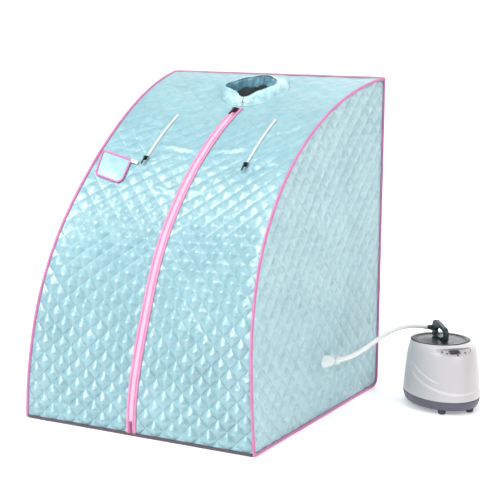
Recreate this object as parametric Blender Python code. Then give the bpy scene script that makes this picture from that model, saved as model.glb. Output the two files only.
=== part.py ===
"""Portable steam sauna: quilted tent on a push-fit tube frame, steam hose and steamer.

Metres, +Z up. The tent's front faces -Y and +X is its right-hand side seen from the front.
The origin is on the ground at the centre of the tent's floor.
"""
import bisect
import math

import bmesh
import bpy
from mathutils import Matrix, Vector

# Tent envelope: the side outline is three tangent arcs, from the front hem up to the back edge.
WIDTH = 0.70
FRONT_LEAN = math.radians(3.3)
OUTLINE_ARCS = ((1.230, math.radians(11.1)), (0.662, math.radians(31.7)), (0.969, math.radians(43.6)))
SEAM_BOW = 0.0476
SEAM_BOW_POWER = 1.28
FRONT_SAG = 0.028
SAG_HALF_WIDTH = 0.31
SKIN = 0.006
FLOOR_SKIN = 0.003
CORNER_RADIUS = 0.025
PIPING_RADIUS = 0.004
PIPING_HEIGHT = 0.0045
SEAM_ALLOWANCE = 0.0048
SIDE_ALLOWANCE = 0.007
HEM_START = 0.0095
BACK_STOP = 0.0075
NECK_START = 1.105
FRONT_ROWS = 26
TOP_ROWS = 8
PANEL_COLUMNS = 6

# Neck opening and its stand-up collar.
NECK_Y = 0.265
NECK_RADIUS = 0.078
COLLAR_BASE = (0.0, 0.270, 0.098, 0.092)
COLLAR_RIM = (0.002, 0.247, 0.078, 0.062)
COLLAR_RIM_HEIGHT = 0.892
COLLAR_SLOPE = 0.25
COLLAR_DIP = 0.018
COLLAR_WALL = 0.006
COLLAR_SEGMENTS = 32

# Zips and pocket.
ZIP_END = 1.088
ZIP_HEM_SHIFT = 0.013
ZIP_HALF_WIDTH = 0.016
ZIP_LIFT = 0.0008
ZIP_TAPE = 0.002
ARM_ZIP_X = 0.157
ARM_ZIP_SPAN = (0.790, 1.010)
ARM_ZIP_HALF_WIDTH = 0.0065
FRONT_SLIDER_S = 1.066
ARM_SLIDER_S = 0.800
SLIDER_GAP = 0.0011
POCKET_CORNERS = ((-0.292, 0.803), (-0.197, 0.785), (-0.189, 0.699), (-0.275, 0.715))

# Frame: tubes pushed into plastic corner blocks.
TUBE_RADIUS = 0.006
BLOCK_RADIUS = 0.0085
BLOCK_REACH = 0.028
TUBE_INSET = 0.0228
BACK_INSET = 0.024
RAIL_HEIGHT = 0.0165
TUBE_GAP = 0.0006

# Steam port, hose and steamer.
HOSE_RADIUS = 0.0065
HOSE_START = Vector((0.376, 0.053, 0.156))
HOSE_END = Vector((0.523, 0.352, 0.207))
HOSE_START_PULL = Vector((0.705, 0.681, 0.062)).normalized() * 0.095
HOSE_END_PULL = Vector((1.0, 0.020, -0.057)).normalized() * 0.137
HOSE_POINTS = 22
STEAMER_CENTRE = Vector((0.585, 0.308, 0.0))
STEAMER_TURN = math.radians(43.8)
LID_SHIFT = 0.017
STEAMER_SEGMENTS = 32
LID_TOP = 0.186
FACE_GAP = 0.0004
HOSE_GAP = 0.0010


# ---------------------------------------------------------------- materials and object helpers

def material(name, colour, roughness, metallic=0.0):
    mat = bpy.data.materials.new(name)
    mat.use_nodes = True
    shader = mat.node_tree.nodes["Principled BSDF"]
    shader.inputs["Base Color"].default_value = (*colour, 1.0)
    shader.inputs["Roughness"].default_value = roughness
    shader.inputs["Metallic"].default_value = metallic
    return mat


def add_object(name, mesh, mat, pivot=None, parent=None):
    """Link a mesh as a named object; with a pivot, the object's origin is put there."""
    obj = bpy.data.objects.new(name, mesh)
    obj.data.materials.append(mat)
    bpy.context.scene.collection.objects.link(obj)
    if pivot is not None:
        mesh.transform(Matrix.Translation(-Vector(pivot)))
        obj.location = pivot
    obj.parent = parent
    mesh.shade_smooth()
    mesh.set_sharp_from_angle(angle=math.radians(35))
    return obj


def finish_mesh(name, bm):
    bmesh.ops.remove_doubles(bm, verts=bm.verts, dist=1e-6)
    bmesh.ops.recalc_face_normals(bm, faces=bm.faces)
    mesh = bpy.data.meshes.new(name)
    bm.to_mesh(mesh)
    bm.free()
    return mesh


def bridge_rows(bm, rows, close_rows):
    """Faces between neighbouring rows of vertices; each row is a closed loop."""
    count = len(rows)
    last = count if close_rows else count - 1
    for i in range(last):
        row = rows[i]
        following = rows[(i + 1) % count]
        for j in range(len(row)):
            k = (j + 1) % len(row)
            bm.faces.new((row[j], row[k], following[k], following[j]))


def loft(name, loops, hollow=False):
    """A body through closed loops of points: capped at both ends, or a closed ring when hollow."""
    bm = bmesh.new()
    rows = [[bm.verts.new(point) for point in loop] for loop in loops]
    bridge_rows(bm, rows, hollow)
    if not hollow:
        bm.faces.new(rows[0])
        bm.faces.new(rows[-1])
    return finish_mesh(name, bm)


def plate(name, outer, inner):
    """A thick plate between two grids of points of the same shape."""
    bm = bmesh.new()
    sheets = [[[bm.verts.new(point) for point in row] for row in grid] for grid in (outer, inner)]
    rows = len(outer)
    columns = len(outer[0])
    for sheet in sheets:
        for i in range(rows - 1):
            for j in range(columns - 1):
                bm.faces.new((sheet[i][j], sheet[i][j + 1], sheet[i + 1][j + 1], sheet[i + 1][j]))
    top, bottom = sheets
    border = [(i, 0) for i in range(rows)] + [(rows - 1, j) for j in range(1, columns)]
    border += [(i, columns - 1) for i in range(rows - 2, -1, -1)] + [(0, j) for j in range(columns - 2, 0, -1)]
    for index, (i, j) in enumerate(border):
        m, n = border[(index + 1) % len(border)]
        bm.faces.new((top[i][j], top[m][n], bottom[m][n], bottom[i][j]))
    return finish_mesh(name, bm)


def box_mesh(name, low, high, bevel=0.0):
    bm = bmesh.new()
    bmesh.ops.create_cube(bm, size=1.0)
    low = Vector(low)
    high = Vector(high)
    size = high - low
    for vert in bm.verts:
        vert.co = Vector((low[i] + (vert.co[i] + 0.5) * size[i] for i in range(3)))
    if bevel:
        bmesh.ops.bevel(bm, geom=bm.edges, offset=bevel, segments=1, affect="EDGES")
    return finish_mesh(name, bm)


def ring_points(centre, axis, radius, count, start=0.0):
    """Points of a circle of the given radius around an axis direction."""
    axis = Vector(axis).normalized()
    side = axis.orthogonal().normalized() if abs(axis.z) > 0.9 else axis.cross(Vector((0, 0, 1))).normalized()
    up = side.cross(axis)
    points = []
    for i in range(count):
        angle = start + 2 * math.pi * i / count
        points.append(Vector(centre) + side * math.cos(angle) * radius + up * math.sin(angle) * radius)
    return points


def rod(name, start, end, radius, count=12):
    axis = Vector(end) - Vector(start)
    return loft(name, [ring_points(start, axis, radius, count), ring_points(end, axis, radius, count)])


def turned(name, profile, centre=(0, 0), count=STEAMER_SEGMENTS):
    """A closed (radius, height) profile turned about a vertical axis."""
    loops = []
    for radius, height in profile:
        loops.append([Vector((centre[0] + radius * math.cos(2 * math.pi * i / count),
                              centre[1] + radius * math.sin(2 * math.pi * i / count), height))
                      for i in range(count)])
    return loft(name, loops, hollow=True)


def turned_solid(name, profile, centre=(0, 0), count=STEAMER_SEGMENTS):
    """A turned body whose profile starts and ends on the axis with flat ends."""
    loops = []
    for radius, height in profile:
        loops.append([Vector((centre[0] + radius * math.cos(2 * math.pi * i / count),
                              centre[1] + radius * math.sin(2 * math.pi * i / count), height))
                      for i in range(count)])
    return loft(name, loops)


def oval_loops(profile, count=STEAMER_SEGMENTS):
    """Closed oval rows from (half width, half depth, height, shift along Y)."""
    loops = []
    for half_x, half_y, height, shift in profile:
        loops.append([Vector((half_x * math.cos(2 * math.pi * i / count),
                              shift + half_y * math.sin(2 * math.pi * i / count), height))
                      for i in range(count)])
    return loops


def curve_tube(name, points, radius, mat, resolution=2, cyclic=False):
    curve = bpy.data.curves.new(name, "CURVE")
    curve.dimensions = "3D"
    curve.bevel_depth = radius
    curve.bevel_resolution = resolution
    curve.render_resolution_u = 0
    curve.use_fill_caps = not cyclic
    spline = curve.splines.new("POLY")
    spline.points.add(len(points) - 1)
    for target, point in zip(spline.points, points):
        target.co = (*point, 1.0)
    spline.use_cyclic_u = cyclic
    obj = bpy.data.objects.new(name, curve)
    curve.materials.append(mat)
    bpy.context.scene.collection.objects.link(obj)
    return obj


def boolean(obj, cutter_mesh, operation, parent=None):
    """Apply one exact Boolean to an object; the cutter stays hidden as a wire guide."""
    cutter = bpy.data.objects.new(obj.name + "_cutter", cutter_mesh)
    bpy.context.scene.collection.objects.link(cutter)
    cutter.parent = parent
    cutter.hide_render = True
    cutter.display_type = "WIRE"
    modifier = obj.modifiers.new(operation.title(), "BOOLEAN")
    modifier.object = cutter
    modifier.operation = operation
    modifier.solver = "EXACT"
    return obj


# ---------------------------------------------------------------- tent surfaces

def outline_arcs():
    """Centre, radius, start angle and start length of each outline arc, walking up and back."""
    heading = math.pi / 2 + FRONT_LEAN
    y = 0.0
    z = 0.0
    length = 0.0
    arcs = []
    for radius, sweep in OUTLINE_ARCS:
        centre = (y + radius * math.sin(heading), z - radius * math.cos(heading))
        arcs.append([centre, radius, heading, length])
        heading -= sweep
        y = centre[0] - radius * math.sin(heading)
        z = centre[1] + radius * math.cos(heading)
        length += radius * sweep
    half = y / 2
    for arc in arcs:
        arc[0] = (arc[0][0] - half, arc[0][1])
    return arcs, y, z, length


ARCS, DEPTH, HEIGHT, OUTLINE_LENGTH = outline_arcs()


def outline(s):
    """Point (y, z) and outward normal (y, z) of the side outline at arc length s."""
    arc = [a for a in ARCS if a[3] <= s + 1e-12 or a is ARCS[0]][-1]
    centre, radius, heading, start = arc
    angle = heading - (s - start) / radius
    normal = (-math.sin(angle), math.cos(angle))
    return (centre[0] + radius * normal[0], centre[1] + radius * normal[1]), normal


def smooth_step(value, low, high):
    t = min(1.0, max(0.0, (value - low) / (high - low)))
    return t * t * (3 - 2 * t)


def sag(x, s):
    """How far the front skin hangs inside the outline between the two bow poles."""
    across = max(0.0, 1 - (x / SAG_HALF_WIDTH) ** 2) ** 1.5
    return FRONT_SAG * across * smooth_step(s, 0.03, 0.40) * (1 - smooth_step(s, 1.12, 1.335))


def seam_bow(s):
    return SEAM_BOW * math.sin(math.pi * (max(0.0, s) / OUTLINE_LENGTH) ** SEAM_BOW_POWER)


def seam_x(s):
    return WIDTH / 2 - seam_bow(s)


def skin_point(x, s, lift):
    (y, z), normal = outline(s)
    offset = lift - sag(x, s)
    return Vector((x, y + normal[0] * offset, z + normal[1] * offset))


def polar_table():
    table = []
    for i in range(181):
        s = OUTLINE_LENGTH * i / 180
        (y, z), _ = outline(s)
        table.append((math.atan2(z, DEPTH / 2 - y), math.hypot(z, DEPTH / 2 - y), s))
    return table


POLAR = polar_table()
POLAR_ANGLES = [row[0] for row in POLAR]


def side_x(y, z):
    """The side panel's outer face: bowed inward at the front seam, flat at the back and the hem."""
    angle = math.atan2(max(z, 0.0), DEPTH / 2 - y)
    index = min(len(POLAR) - 1, max(1, bisect.bisect(POLAR_ANGLES, angle)))
    low = POLAR[index - 1]
    high = POLAR[index]
    t = min(1.0, max(0.0, (angle - low[0]) / (high[0] - low[0])))
    reach = low[1] + t * (high[1] - low[1])
    s = low[2] + t * (high[2] - low[2])
    share = math.hypot(z, DEPTH / 2 - y) / reach
    return WIDTH / 2 - seam_bow(s) * share ** 2


def spread(start, end, count):
    return [start + (end - start) * i / count for i in range(count + 1)]


FRONT_S = spread(HEM_START, NECK_START - 0.0003, FRONT_ROWS)
TOP_S = spread(NECK_START, OUTLINE_LENGTH - BACK_STOP, TOP_ROWS)


def skin_height(x, y):
    """Height of the top skin above the point (x, y), by halving the outline length."""
    low = 0.8
    high = OUTLINE_LENGTH
    for _ in range(40):
        middle = (low + high) / 2
        if skin_point(x, middle, 0.0).y < y:
            low = middle
        else:
            high = middle
    return skin_point(x, low, 0.0).z


# ---------------------------------------------------------------- tent pieces

def zip_x(s):
    """The front zip stands a little left of centre at the hem."""
    return -ZIP_HEM_SHIFT * (1 - smooth_step(s, 0.0, 0.36))


def front_panel(name, side, mat):
    grids = []
    for lift in (0.0, -SKIN):
        grid = []
        for s in FRONT_S:
            inner = zip_x(s) + side * 0.0008
            edge = side * (seam_x(s) - SEAM_ALLOWANCE)
            grid.append([skin_point(x, s, lift) for x in spread(inner, edge, PANEL_COLUMNS)])
        grids.append(grid)
    add_object(name, plate(name, *grids), mat)


def top_panel(mat):
    grids = []
    for lift in (0.0, -SKIN):
        grid = []
        for s in TOP_S:
            edge = seam_x(s) - SEAM_ALLOWANCE
            grid.append([skin_point(x, s, lift) for x in spread(-edge, edge, 2 * PANEL_COLUMNS)])
        grids.append(grid)
    obj = add_object("top_panel", plate("top_panel", *grids), mat)
    hole = rod("neck_hole", (0, NECK_Y, HEIGHT - 0.15), (0, NECK_Y, HEIGHT + 0.05), NECK_RADIUS, 32)
    boolean(obj, hole, "DIFFERENCE")


def side_outline():
    """Edge of a side panel as (y, z), kept clear of the seam piping, front hem first."""
    points = []
    for s in FRONT_S + TOP_S[1:]:
        (y, z), normal = outline(s)
        points.append((y - normal[0] * SIDE_ALLOWANCE, z - normal[1] * SIDE_ALLOWANCE))
    back = DEPTH / 2 - SIDE_ALLOWANCE
    points[0] = (points[0][0], PIPING_HEIGHT * 2)
    points[-1] = (back, points[-1][1])
    for z in spread(points[-1][1], 0.032, 8)[1:]:
        points.append((back, z))
    radius = CORNER_RADIUS - SIDE_ALLOWANCE
    for angle in (-30, -60, -90):
        points.append((back - radius + radius * math.cos(math.radians(angle)),
                       PIPING_HEIGHT * 2 + radius + radius * math.sin(math.radians(angle))))
    front = points[0][0]
    for y in spread(points[-1][0], front, 8)[1:-1]:
        points.append((y, PIPING_HEIGHT * 2))
    return points


def side_panel(name, side, mat):
    """A fan of quads from an inner point to the outline, bent to the side surface."""
    hub = (DEPTH / 2 - 0.10, 0.10)
    edge = side_outline()
    bm = bmesh.new()
    sheets = []
    for depth in (0.0, SKIN):
        rings = []
        for share in (0.3, 0.55, 0.8, 1.0):
            ring = []
            for y, z in edge:
                py = hub[0] + (y - hub[0]) * share
                pz = hub[1] + (z - hub[1]) * share
                ring.append(bm.verts.new((side * (side_x(py, pz) - depth), py, pz)))
            rings.append(ring)
        bridge_rows(bm, rings, False)
        centre = bm.verts.new((side * (side_x(*hub) - depth), *hub))
        for j in range(len(edge)):
            bm.faces.new((centre, rings[0][j], rings[0][(j + 1) % len(edge)]))
        sheets.append(rings[-1])
    bridge_rows(bm, sheets, False)
    return add_object(name, finish_mesh(name, bm), mat)


def back_panel(mat):
    half = WIDTH / 2 - SEAM_ALLOWANCE
    rows = [(DEPTH / 2, HEIGHT - BACK_STOP, 1.0, 0.0), (DEPTH / 2, HEIGHT / 2, 1.0, 0.0)]
    for step in range(6):
        angle = math.radians(-18 * step)
        rows.append((DEPTH / 2 - CORNER_RADIUS + CORNER_RADIUS * math.cos(angle),
                     CORNER_RADIUS + CORNER_RADIUS * math.sin(angle), math.cos(angle), math.sin(angle)))
    grids = []
    for depth in (0.0, SKIN):
        grids.append([[Vector((x, y - ny * depth, z - nz * depth)) for x in spread(-half, half, 4)]
                      for y, z, ny, nz in rows])
    add_object("back_panel", plate("back_panel", *grids), mat)


def floor_panel(mat):
    half = WIDTH / 2 - SEAM_ALLOWANCE
    low = (-half, -DEPTH / 2 + SEAM_ALLOWANCE, 0.0)
    high = (half, DEPTH / 2 - CORNER_RADIUS - 0.0005, FLOOR_SKIN)
    add_object("floor_panel", box_mesh("floor_panel", low, high), mat)


def seam_loop(side):
    points = []
    for s in [PIPING_HEIGHT] + FRONT_S[1:] + TOP_S[1:-1]:
        (y, z), _ = outline(s)
        points.append((side * seam_x(s), y, z))
    back = DEPTH / 2
    edge = side * WIDTH / 2
    points.append((edge, back, HEIGHT))
    for z in spread(HEIGHT, CORNER_RADIUS + PIPING_HEIGHT, 6)[1:]:
        points.append((edge, back, z))
    for angle in (-22.5, -45, -67.5, -90):
        points.append((edge, back - CORNER_RADIUS + CORNER_RADIUS * math.cos(math.radians(angle)),
                       CORNER_RADIUS + PIPING_HEIGHT + CORNER_RADIUS * math.sin(math.radians(angle))))
    for y in spread(points[-1][1], -DEPTH / 2 + 0.0003, 5)[1:-1]:
        points.append((edge, y, PIPING_HEIGHT))
    return points


def piping(mat):
    for name, side in (("left_seam_piping", -1), ("right_seam_piping", 1)):
        curve_tube(name, seam_loop(side), PIPING_RADIUS, mat, resolution=1, cyclic=True)
    half = WIDTH / 2 - SEAM_ALLOWANCE
    for name, y, z in (("front_hem_piping", -DEPTH / 2, PIPING_HEIGHT), ("back_top_piping", DEPTH / 2, HEIGHT)):
        curve_tube(name, [(x, y, z) for x in spread(-half, half, 6)], PIPING_RADIUS, mat, resolution=1)


def neck_collar(mat):
    """Boxy stand-up collar: an oval wall from the neck hole up to a tilted, dipped rim."""
    loops = [[] for _ in range(6)]
    for i in range(COLLAR_SEGMENTS):
        angle = 2 * math.pi * i / COLLAR_SEGMENTS
        cos = math.cos(angle)
        sin = math.sin(angle)
        dip = COLLAR_DIP * max(0.0, -sin) ** 8
        for index, (share, inner) in enumerate(((0, 0), (0.5, 0), (1, 0), (1, 1), (0.5, 1), (0, 1))):
            ring = [a + (b - a) * share for a, b in zip(COLLAR_BASE, COLLAR_RIM)]
            a = ring[2] - inner * COLLAR_WALL
            b = ring[3] - inner * COLLAR_WALL
            x = ring[0] + a * cos
            y = ring[1] + b * sin
            foot = skin_height(x, y) + 0.0010
            rim = COLLAR_RIM_HEIGHT + COLLAR_SLOPE * (y - COLLAR_RIM[1]) - dip
            loops[index].append(Vector((x, y, foot + (rim - foot) * share)))
    add_object("neck_collar", loft("neck_collar", loops, hollow=True), mat)


def strip(name, edges, s_values, lift, thickness, mat):
    """A tape sewn on the front skin, between two x edges; it follows the zip's drift at the hem."""
    grids = []
    for height in (lift + thickness, lift):
        grids.append([[skin_point(x + zip_x(s), s, height) for x in edges] for s in s_values])
    add_object(name, plate(name, *grids), mat)


def zip_tapes(pink, white):
    rows = [s for s in FRONT_S if s < ZIP_END - 0.01]
    rows[0] = FRONT_S[0] + 0.003
    rows.append(ZIP_END)
    for name, side in (("front_zip_left_tape", -1), ("front_zip_right_tape", 1)):
        strip(name, (side * 0.0004, side * ZIP_HALF_WIDTH), rows, ZIP_LIFT, ZIP_TAPE, pink)
    low, high = ARM_ZIP_SPAN
    rows = [low] + [s for s in FRONT_S if low + 0.008 < s < high - 0.008] + [high]
    for name, side in (("left_arm_zip", -1), ("right_arm_zip", 1)):
        edges = (side * (ARM_ZIP_X - ARM_ZIP_HALF_WIDTH), side * (ARM_ZIP_X + ARM_ZIP_HALF_WIDTH))
        strip(name, edges, rows, ZIP_LIFT, ZIP_TAPE, white)


def pocket(mat):
    """Patch pocket on the left front, its lower inner corner cut off."""
    top_left, top_right, low_right, low_left = [Vector(c) for c in POCKET_CORNERS]
    grids = []
    for lift in (0.0028, 0.0010):
        grid = []
        for v in spread(0, 1, 4):
            row = []
            for u in spread(0, 1, 4):
                across = min(u, 1 - 0.25 * max(0.0, (v - 0.75) / 0.25))
                point = top_left.lerp(top_right, across).lerp(low_left.lerp(low_right, across), v)
                row.append(skin_point(point.x, point.y, lift))
            grid.append(row)
        grids.append(grid)
    add_object("pocket", plate("pocket", *grids), mat)


# ---------------------------------------------------------------- zip sliders and pulls

def slider_frame(x, s, lift):
    """Matrix whose X is +X, Y runs up the outline and Z stands off the skin."""
    (y, z), normal = outline(s)
    out = Vector((0, normal[0], normal[1]))
    along = out.cross(Vector((1, 0, 0)))
    matrix = Matrix((Vector((1, 0, 0)), along, out)).transposed().to_4x4()
    matrix.translation = skin_point(x, s, lift)
    return matrix


def slider_and_pull(name, x, s, scale, mat, pull_mat):
    """Slider body with two lugs and a pin, and the pull tab whose eye turns on the pin."""
    matrix = slider_frame(x, s, ZIP_LIFT + ZIP_TAPE + SLIDER_GAP)
    pivot = Vector((x, *ARCS[-1][0]))
    half = 0.0085 * scale
    length = 0.011 * scale
    pin_height = 0.0075 * scale
    lug = 0.0016 * scale
    lug_x = 0.0045 * scale
    body = box_mesh(name, (-half, -length, 0), (half, length, 0.0042 * scale), 0.0012 * scale)
    obj = add_object(name + "_slider", body, mat)
    lugs = bmesh.new()
    for side in (-1, 1):
        piece = box_mesh("lug", (side * lug_x - lug, -0.003 * scale, 0.002 * scale),
                         (side * lug_x + lug, 0.003 * scale, pin_height + 0.0015 * scale))
        lugs.from_mesh(piece)
        bpy.data.meshes.remove(piece)
    lugs_mesh = bpy.data.meshes.new(name + "_lugs")
    lugs.to_mesh(lugs_mesh)
    lugs.free()
    pin = rod(name + "_pin", (-lug_x, 0, pin_height), (lug_x, 0, pin_height), 0.0009 * scale, 10)
    for tool in (lugs_mesh, pin):
        tool.transform(matrix)
    body.transform(matrix)
    boolean(obj, lugs_mesh, "UNION")
    boolean(obj, pin, "UNION")
    body.transform(Matrix.Translation(-pivot))
    obj.location = pivot
    tab_half = 0.0026 * scale
    tab = box_mesh(name + "_pull", (-tab_half, -0.036 * scale, pin_height - 0.0022 * scale),
                   (tab_half, 0.0024 * scale, pin_height + 0.0022 * scale), 0.0008 * scale)
    eye = rod(name + "_eye", (-0.01, 0, pin_height), (0.01, 0, pin_height), 0.0013 * scale, 12)
    eye.transform(matrix)
    tab.transform(matrix)
    hinge = matrix @ Vector((0, 0, pin_height))
    pull = add_object(name + "_pull", tab, pull_mat, pivot=hinge)
    boolean(pull, eye, "DIFFERENCE")


# ---------------------------------------------------------------- frame

def corner_block(name, centre, directions, mat):
    centre = Vector(centre)
    meshes = []
    for direction in directions:
        reach = Vector(direction).normalized()
        meshes.append(rod(name, centre - reach * BLOCK_RADIUS * 0.8, centre + reach * BLOCK_REACH,
                          BLOCK_RADIUS, 12))
    obj = add_object(name, meshes[0], mat)
    for mesh in meshes[1:]:
        boolean(obj, mesh, "UNION")


def frame(tube_mat, block_mat):
    front = -DEPTH / 2 + TUBE_INSET + 0.001
    back = DEPTH / 2 - BACK_INSET
    top = HEIGHT - 0.024
    reach = BLOCK_REACH + TUBE_GAP
    _, heading = outline(OUTLINE_LENGTH)
    forward = Vector((0, -heading[1], heading[0]))
    for label, side in (("left", -1), ("right", 1)):
        x = side * (WIDTH / 2 - TUBE_INSET)
        foot = Vector((x, front, RAIL_HEIGHT))
        heel = Vector((x, back, RAIL_HEIGHT))
        crown = Vector((x, back, top))
        inward = Vector((-side, 0, 0))
        bow = [foot + Vector((0, 0, reach)), foot + Vector((0, 0, reach + 0.008))]
        for s in FRONT_S[2:] + TOP_S[1:-5]:
            (y, z), normal = outline(s)
            bow.append(Vector((side * (seam_x(s) - TUBE_INSET), y - normal[0] * (TUBE_INSET + 0.002),
                               z - normal[1] * (TUBE_INSET + 0.002))))
        bow += [crown + forward * (reach + 0.012), crown + forward * reach]
        curve_tube(label + "_bow_pole", bow, TUBE_RADIUS, tube_mat, resolution=1)
        post = [heel + Vector((0, 0, reach)), crown - Vector((0, 0, reach))]
        curve_tube(label + "_back_post", post, TUBE_RADIUS, tube_mat)
        rail = [foot + Vector((0, reach, 0)), heel - Vector((0, reach, 0))]
        curve_tube(label + "_base_rail", rail, TUBE_RADIUS, tube_mat)
        corner_block("front_" + label + "_corner", foot, (inward, (0, 1, 0), (0, 0, 1)), block_mat)
        corner_block("back_" + label + "_corner", heel, (inward, (0, -1, 0), (0, 0, 1)), block_mat)
        corner_block("top_" + label + "_corner", crown, (inward, forward, (0, 0, -1)), block_mat)
    span = WIDTH / 2 - TUBE_INSET - reach
    for name, y, z in (("front_base_rail", front, RAIL_HEIGHT), ("back_base_rail", back, RAIL_HEIGHT),
                       ("top_back_rail", back, top)):
        curve_tube(name, [(-span, y, z), (span, y, z)], TUBE_RADIUS, tube_mat)


# ---------------------------------------------------------------- steam port and hose

def port_centre():
    """Where the hose's line meets the right side panel."""
    direction = HOSE_START_PULL.normalized()
    distance = (HOSE_START.x - side_x(HOSE_START.y, HOSE_START.z) - 0.0005) / direction.x
    return HOSE_START - direction * distance


def steam_port(panel, sleeve_mat, tie_mat, outlet_mat):
    direction = HOSE_START_PULL.normalized()
    centre = port_centre()
    hole = rod("port_hole", centre - direction * 0.03, centre + direction * 0.03, 0.0085, 20)
    boolean(panel, hole, "DIFFERENCE")
    neck = HOSE_START - direction * 0.012
    loops = []
    for point, axis, radius in ((centre, (1, 0, 0), 0.019), (centre.lerp(neck, 0.55), direction, 0.0145),
                                (neck, direction, 0.0095), (HOSE_START, direction, 0.0125),
                                (HOSE_START, direction, 0.0078), (neck, direction, 0.0076),
                                (centre.lerp(neck, 0.55), direction, 0.0095), (centre, (1, 0, 0), 0.0135)):
        loops.append(ring_points(point, axis, radius, 20))
    for loop in (loops[0], loops[-1]):
        for point in loop:
            point.x = side_x(point.y, point.z) + FACE_GAP
    add_object("port_sleeve", loft("port_sleeve", loops, hollow=True), sleeve_mat)
    tie = []
    for i in range(6):
        angle = 2 * math.pi * i / 6
        shift = direction * math.sin(angle) * 0.0015
        tie.append(ring_points(neck + shift, direction, 0.0128 + 0.0015 * math.cos(angle), 20))
    add_object("port_tie", loft("port_tie", tie, hollow=True), tie_mat)
    inner_end = centre - direction * 0.045
    loops = []
    for distance, radius in ((0.0, 0.0065), (0.040, 0.0065), (0.052, 0.013), (0.052, 0.0105), (0.040, 0.004),
                             (0.0, 0.004)):
        start = HOSE_START - direction * HOSE_GAP
        loops.append(ring_points(start.lerp(inner_end, distance / 0.052), direction, radius, 16))
    add_object("steam_outlet", loft("steam_outlet", loops, hollow=True), outlet_mat)


def hose_route():
    first = HOSE_START + HOSE_START_PULL
    second = HOSE_END - HOSE_END_PULL
    points = []
    for i in range(HOSE_POINTS + 1):
        t = i / HOSE_POINTS
        points.append((1 - t) ** 3 * HOSE_START + 3 * (1 - t) ** 2 * t * first
                      + 3 * (1 - t) * t * t * second + t ** 3 * HOSE_END)
    return points


# ---------------------------------------------------------------- steamer

HOUSING_OUTSIDE = (
    (0.1020, 0.1378, 0.0385, 0.0), (0.1022, 0.1372, 0.050, 0.0), (0.1000, 0.1310, 0.090, 0.0),
    (0.0970, 0.1225, 0.130, 0.0), (0.0940, 0.1130, 0.160, 0.0), (0.0905, 0.1045, 0.1735, 0.001),
    (0.0870, 0.0935, 0.1815, 0.010), (0.0855, 0.0860, 0.1850, 0.017))
HOUSING_INSIDE = (
    (0.0838, 0.0838, 0.1835, 0.017), (0.0838, 0.0838, 0.1745, 0.017), (0.0878, 0.0980, 0.1695, 0.004),
    (0.0908, 0.1095, 0.158, 0.0), (0.0940, 0.1195, 0.130, 0.0), (0.0970, 0.1280, 0.090, 0.0),
    (0.0992, 0.1342, 0.050, 0.0), (0.0990, 0.1348, 0.0385, 0.0))


def steamer_shell(parent, white, dark, steel, board_mat):
    shell = loft("steamer_housing", oval_loops(HOUSING_OUTSIDE + HOUSING_INSIDE), hollow=True)
    housing = add_object("steamer_housing", shell, white, parent=parent)
    tray = ((0.0880, 0.1200, 0.010, 0.0), (0.0965, 0.1310, 0.013, 0.0), (0.1010, 0.1365, 0.024, 0.0),
            (0.1030, 0.1390, 0.038, 0.0), (0.0965, 0.1325, 0.038, 0.0), (0.0945, 0.1305, 0.020, 0.0),
            (0.0860, 0.1180, 0.015, 0.0))
    base = add_object("steamer_base", loft("steamer_base", oval_loops(tray)), dark, parent=parent)
    for x, y in ((-0.042, -0.103), (0.042, -0.103), (-0.042, 0.103), (0.042, 0.103)):
        foot = turned_solid("foot", ((0.0085, 0.0), (0.0105, 0.002), (0.0115, 0.0125)), (x, y), 12)
        boolean(base, foot, "UNION", parent)
    pot = turned("boiler_pot", (
        (0.0705, 0.050), (0.0780, 0.060), (0.0780, 0.1700), (0.0815, 0.1705), (0.0815, 0.1725),
        (0.0762, 0.1722), (0.0762, 0.062), (0.0700, 0.0520)), (0, LID_SHIFT))
    floor = turned_solid("pot_floor", ((0.0740, 0.0502), (0.0740, 0.0522)), (0, LID_SHIFT))
    pot = add_object("boiler_pot", pot, steel, parent=parent)
    boolean(pot, floor, "UNION", parent)
    ring = []
    for i in range(8):
        angle = 2 * math.pi * i / 8
        ring.append((0.050 + 0.004 * math.cos(angle), 0.044 + 0.004 * math.sin(angle)))
    element = turned("heating_element", ring, (0, LID_SHIFT), 20)
    add_object("heating_element", element, steel, parent=parent)
    board = box_mesh("control_board", (-0.028, -0.0860, 0.072), (0.028, -0.0844, 0.132))
    add_object("control_board", board, board_mat, parent=parent)
    return housing


PANEL_POINT = Vector((-0.002, -0.0915, 0.1725))
PANEL_TILT = math.radians(56.0)
PANEL_HALF_WIDTH = 0.0500
PANEL_TIP = 0.0150
PANEL_BLUNT = 0.0010
PANEL_LOWER_BULGE = 0.0350
PANEL_UPPER_BULGE = 0.0075
PANEL_DEPTH = 0.0055
PANEL_THICKNESS = 0.003
BUTTON_SPOTS = ((-0.0385, 0.0035), (-0.0255, -0.0030), (0.0040, -0.0125), (0.0290, -0.0040))
BUTTON_RADIUS = 0.0029


def panel_matrix():
    """Local frame of the sloped control panel: X across, Y up the slope, Z out of its face."""
    out = Vector((0, -math.cos(PANEL_TILT), math.sin(PANEL_TILT)))
    across = Vector((1, 0, 0))
    matrix = Matrix((across, out.cross(across), out)).transposed().to_4x4()
    matrix.translation = PANEL_POINT
    return matrix


def crescent_prism(name, margin, low, high, count=12):
    """The panel's crescent: both long edges bulge down the slope, the lower one more."""
    outline_points = []
    for upper in (True, False):
        bulge = PANEL_UPPER_BULGE if upper else PANEL_LOWER_BULGE
        tip = PANEL_TIP + (PANEL_BLUNT + 3 * margin if upper else -PANEL_BLUNT - margin)
        for index in range(count + 1):
            angle = math.pi * (index if upper else count - index) / count
            width = (PANEL_HALF_WIDTH + margin) * math.cos(angle)
            outline_points.append((width, tip - bulge * math.sin(angle)))
    return loft(name, [[Vector((x, y, z)) for x, y in outline_points] for z in (low, high)])


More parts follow.
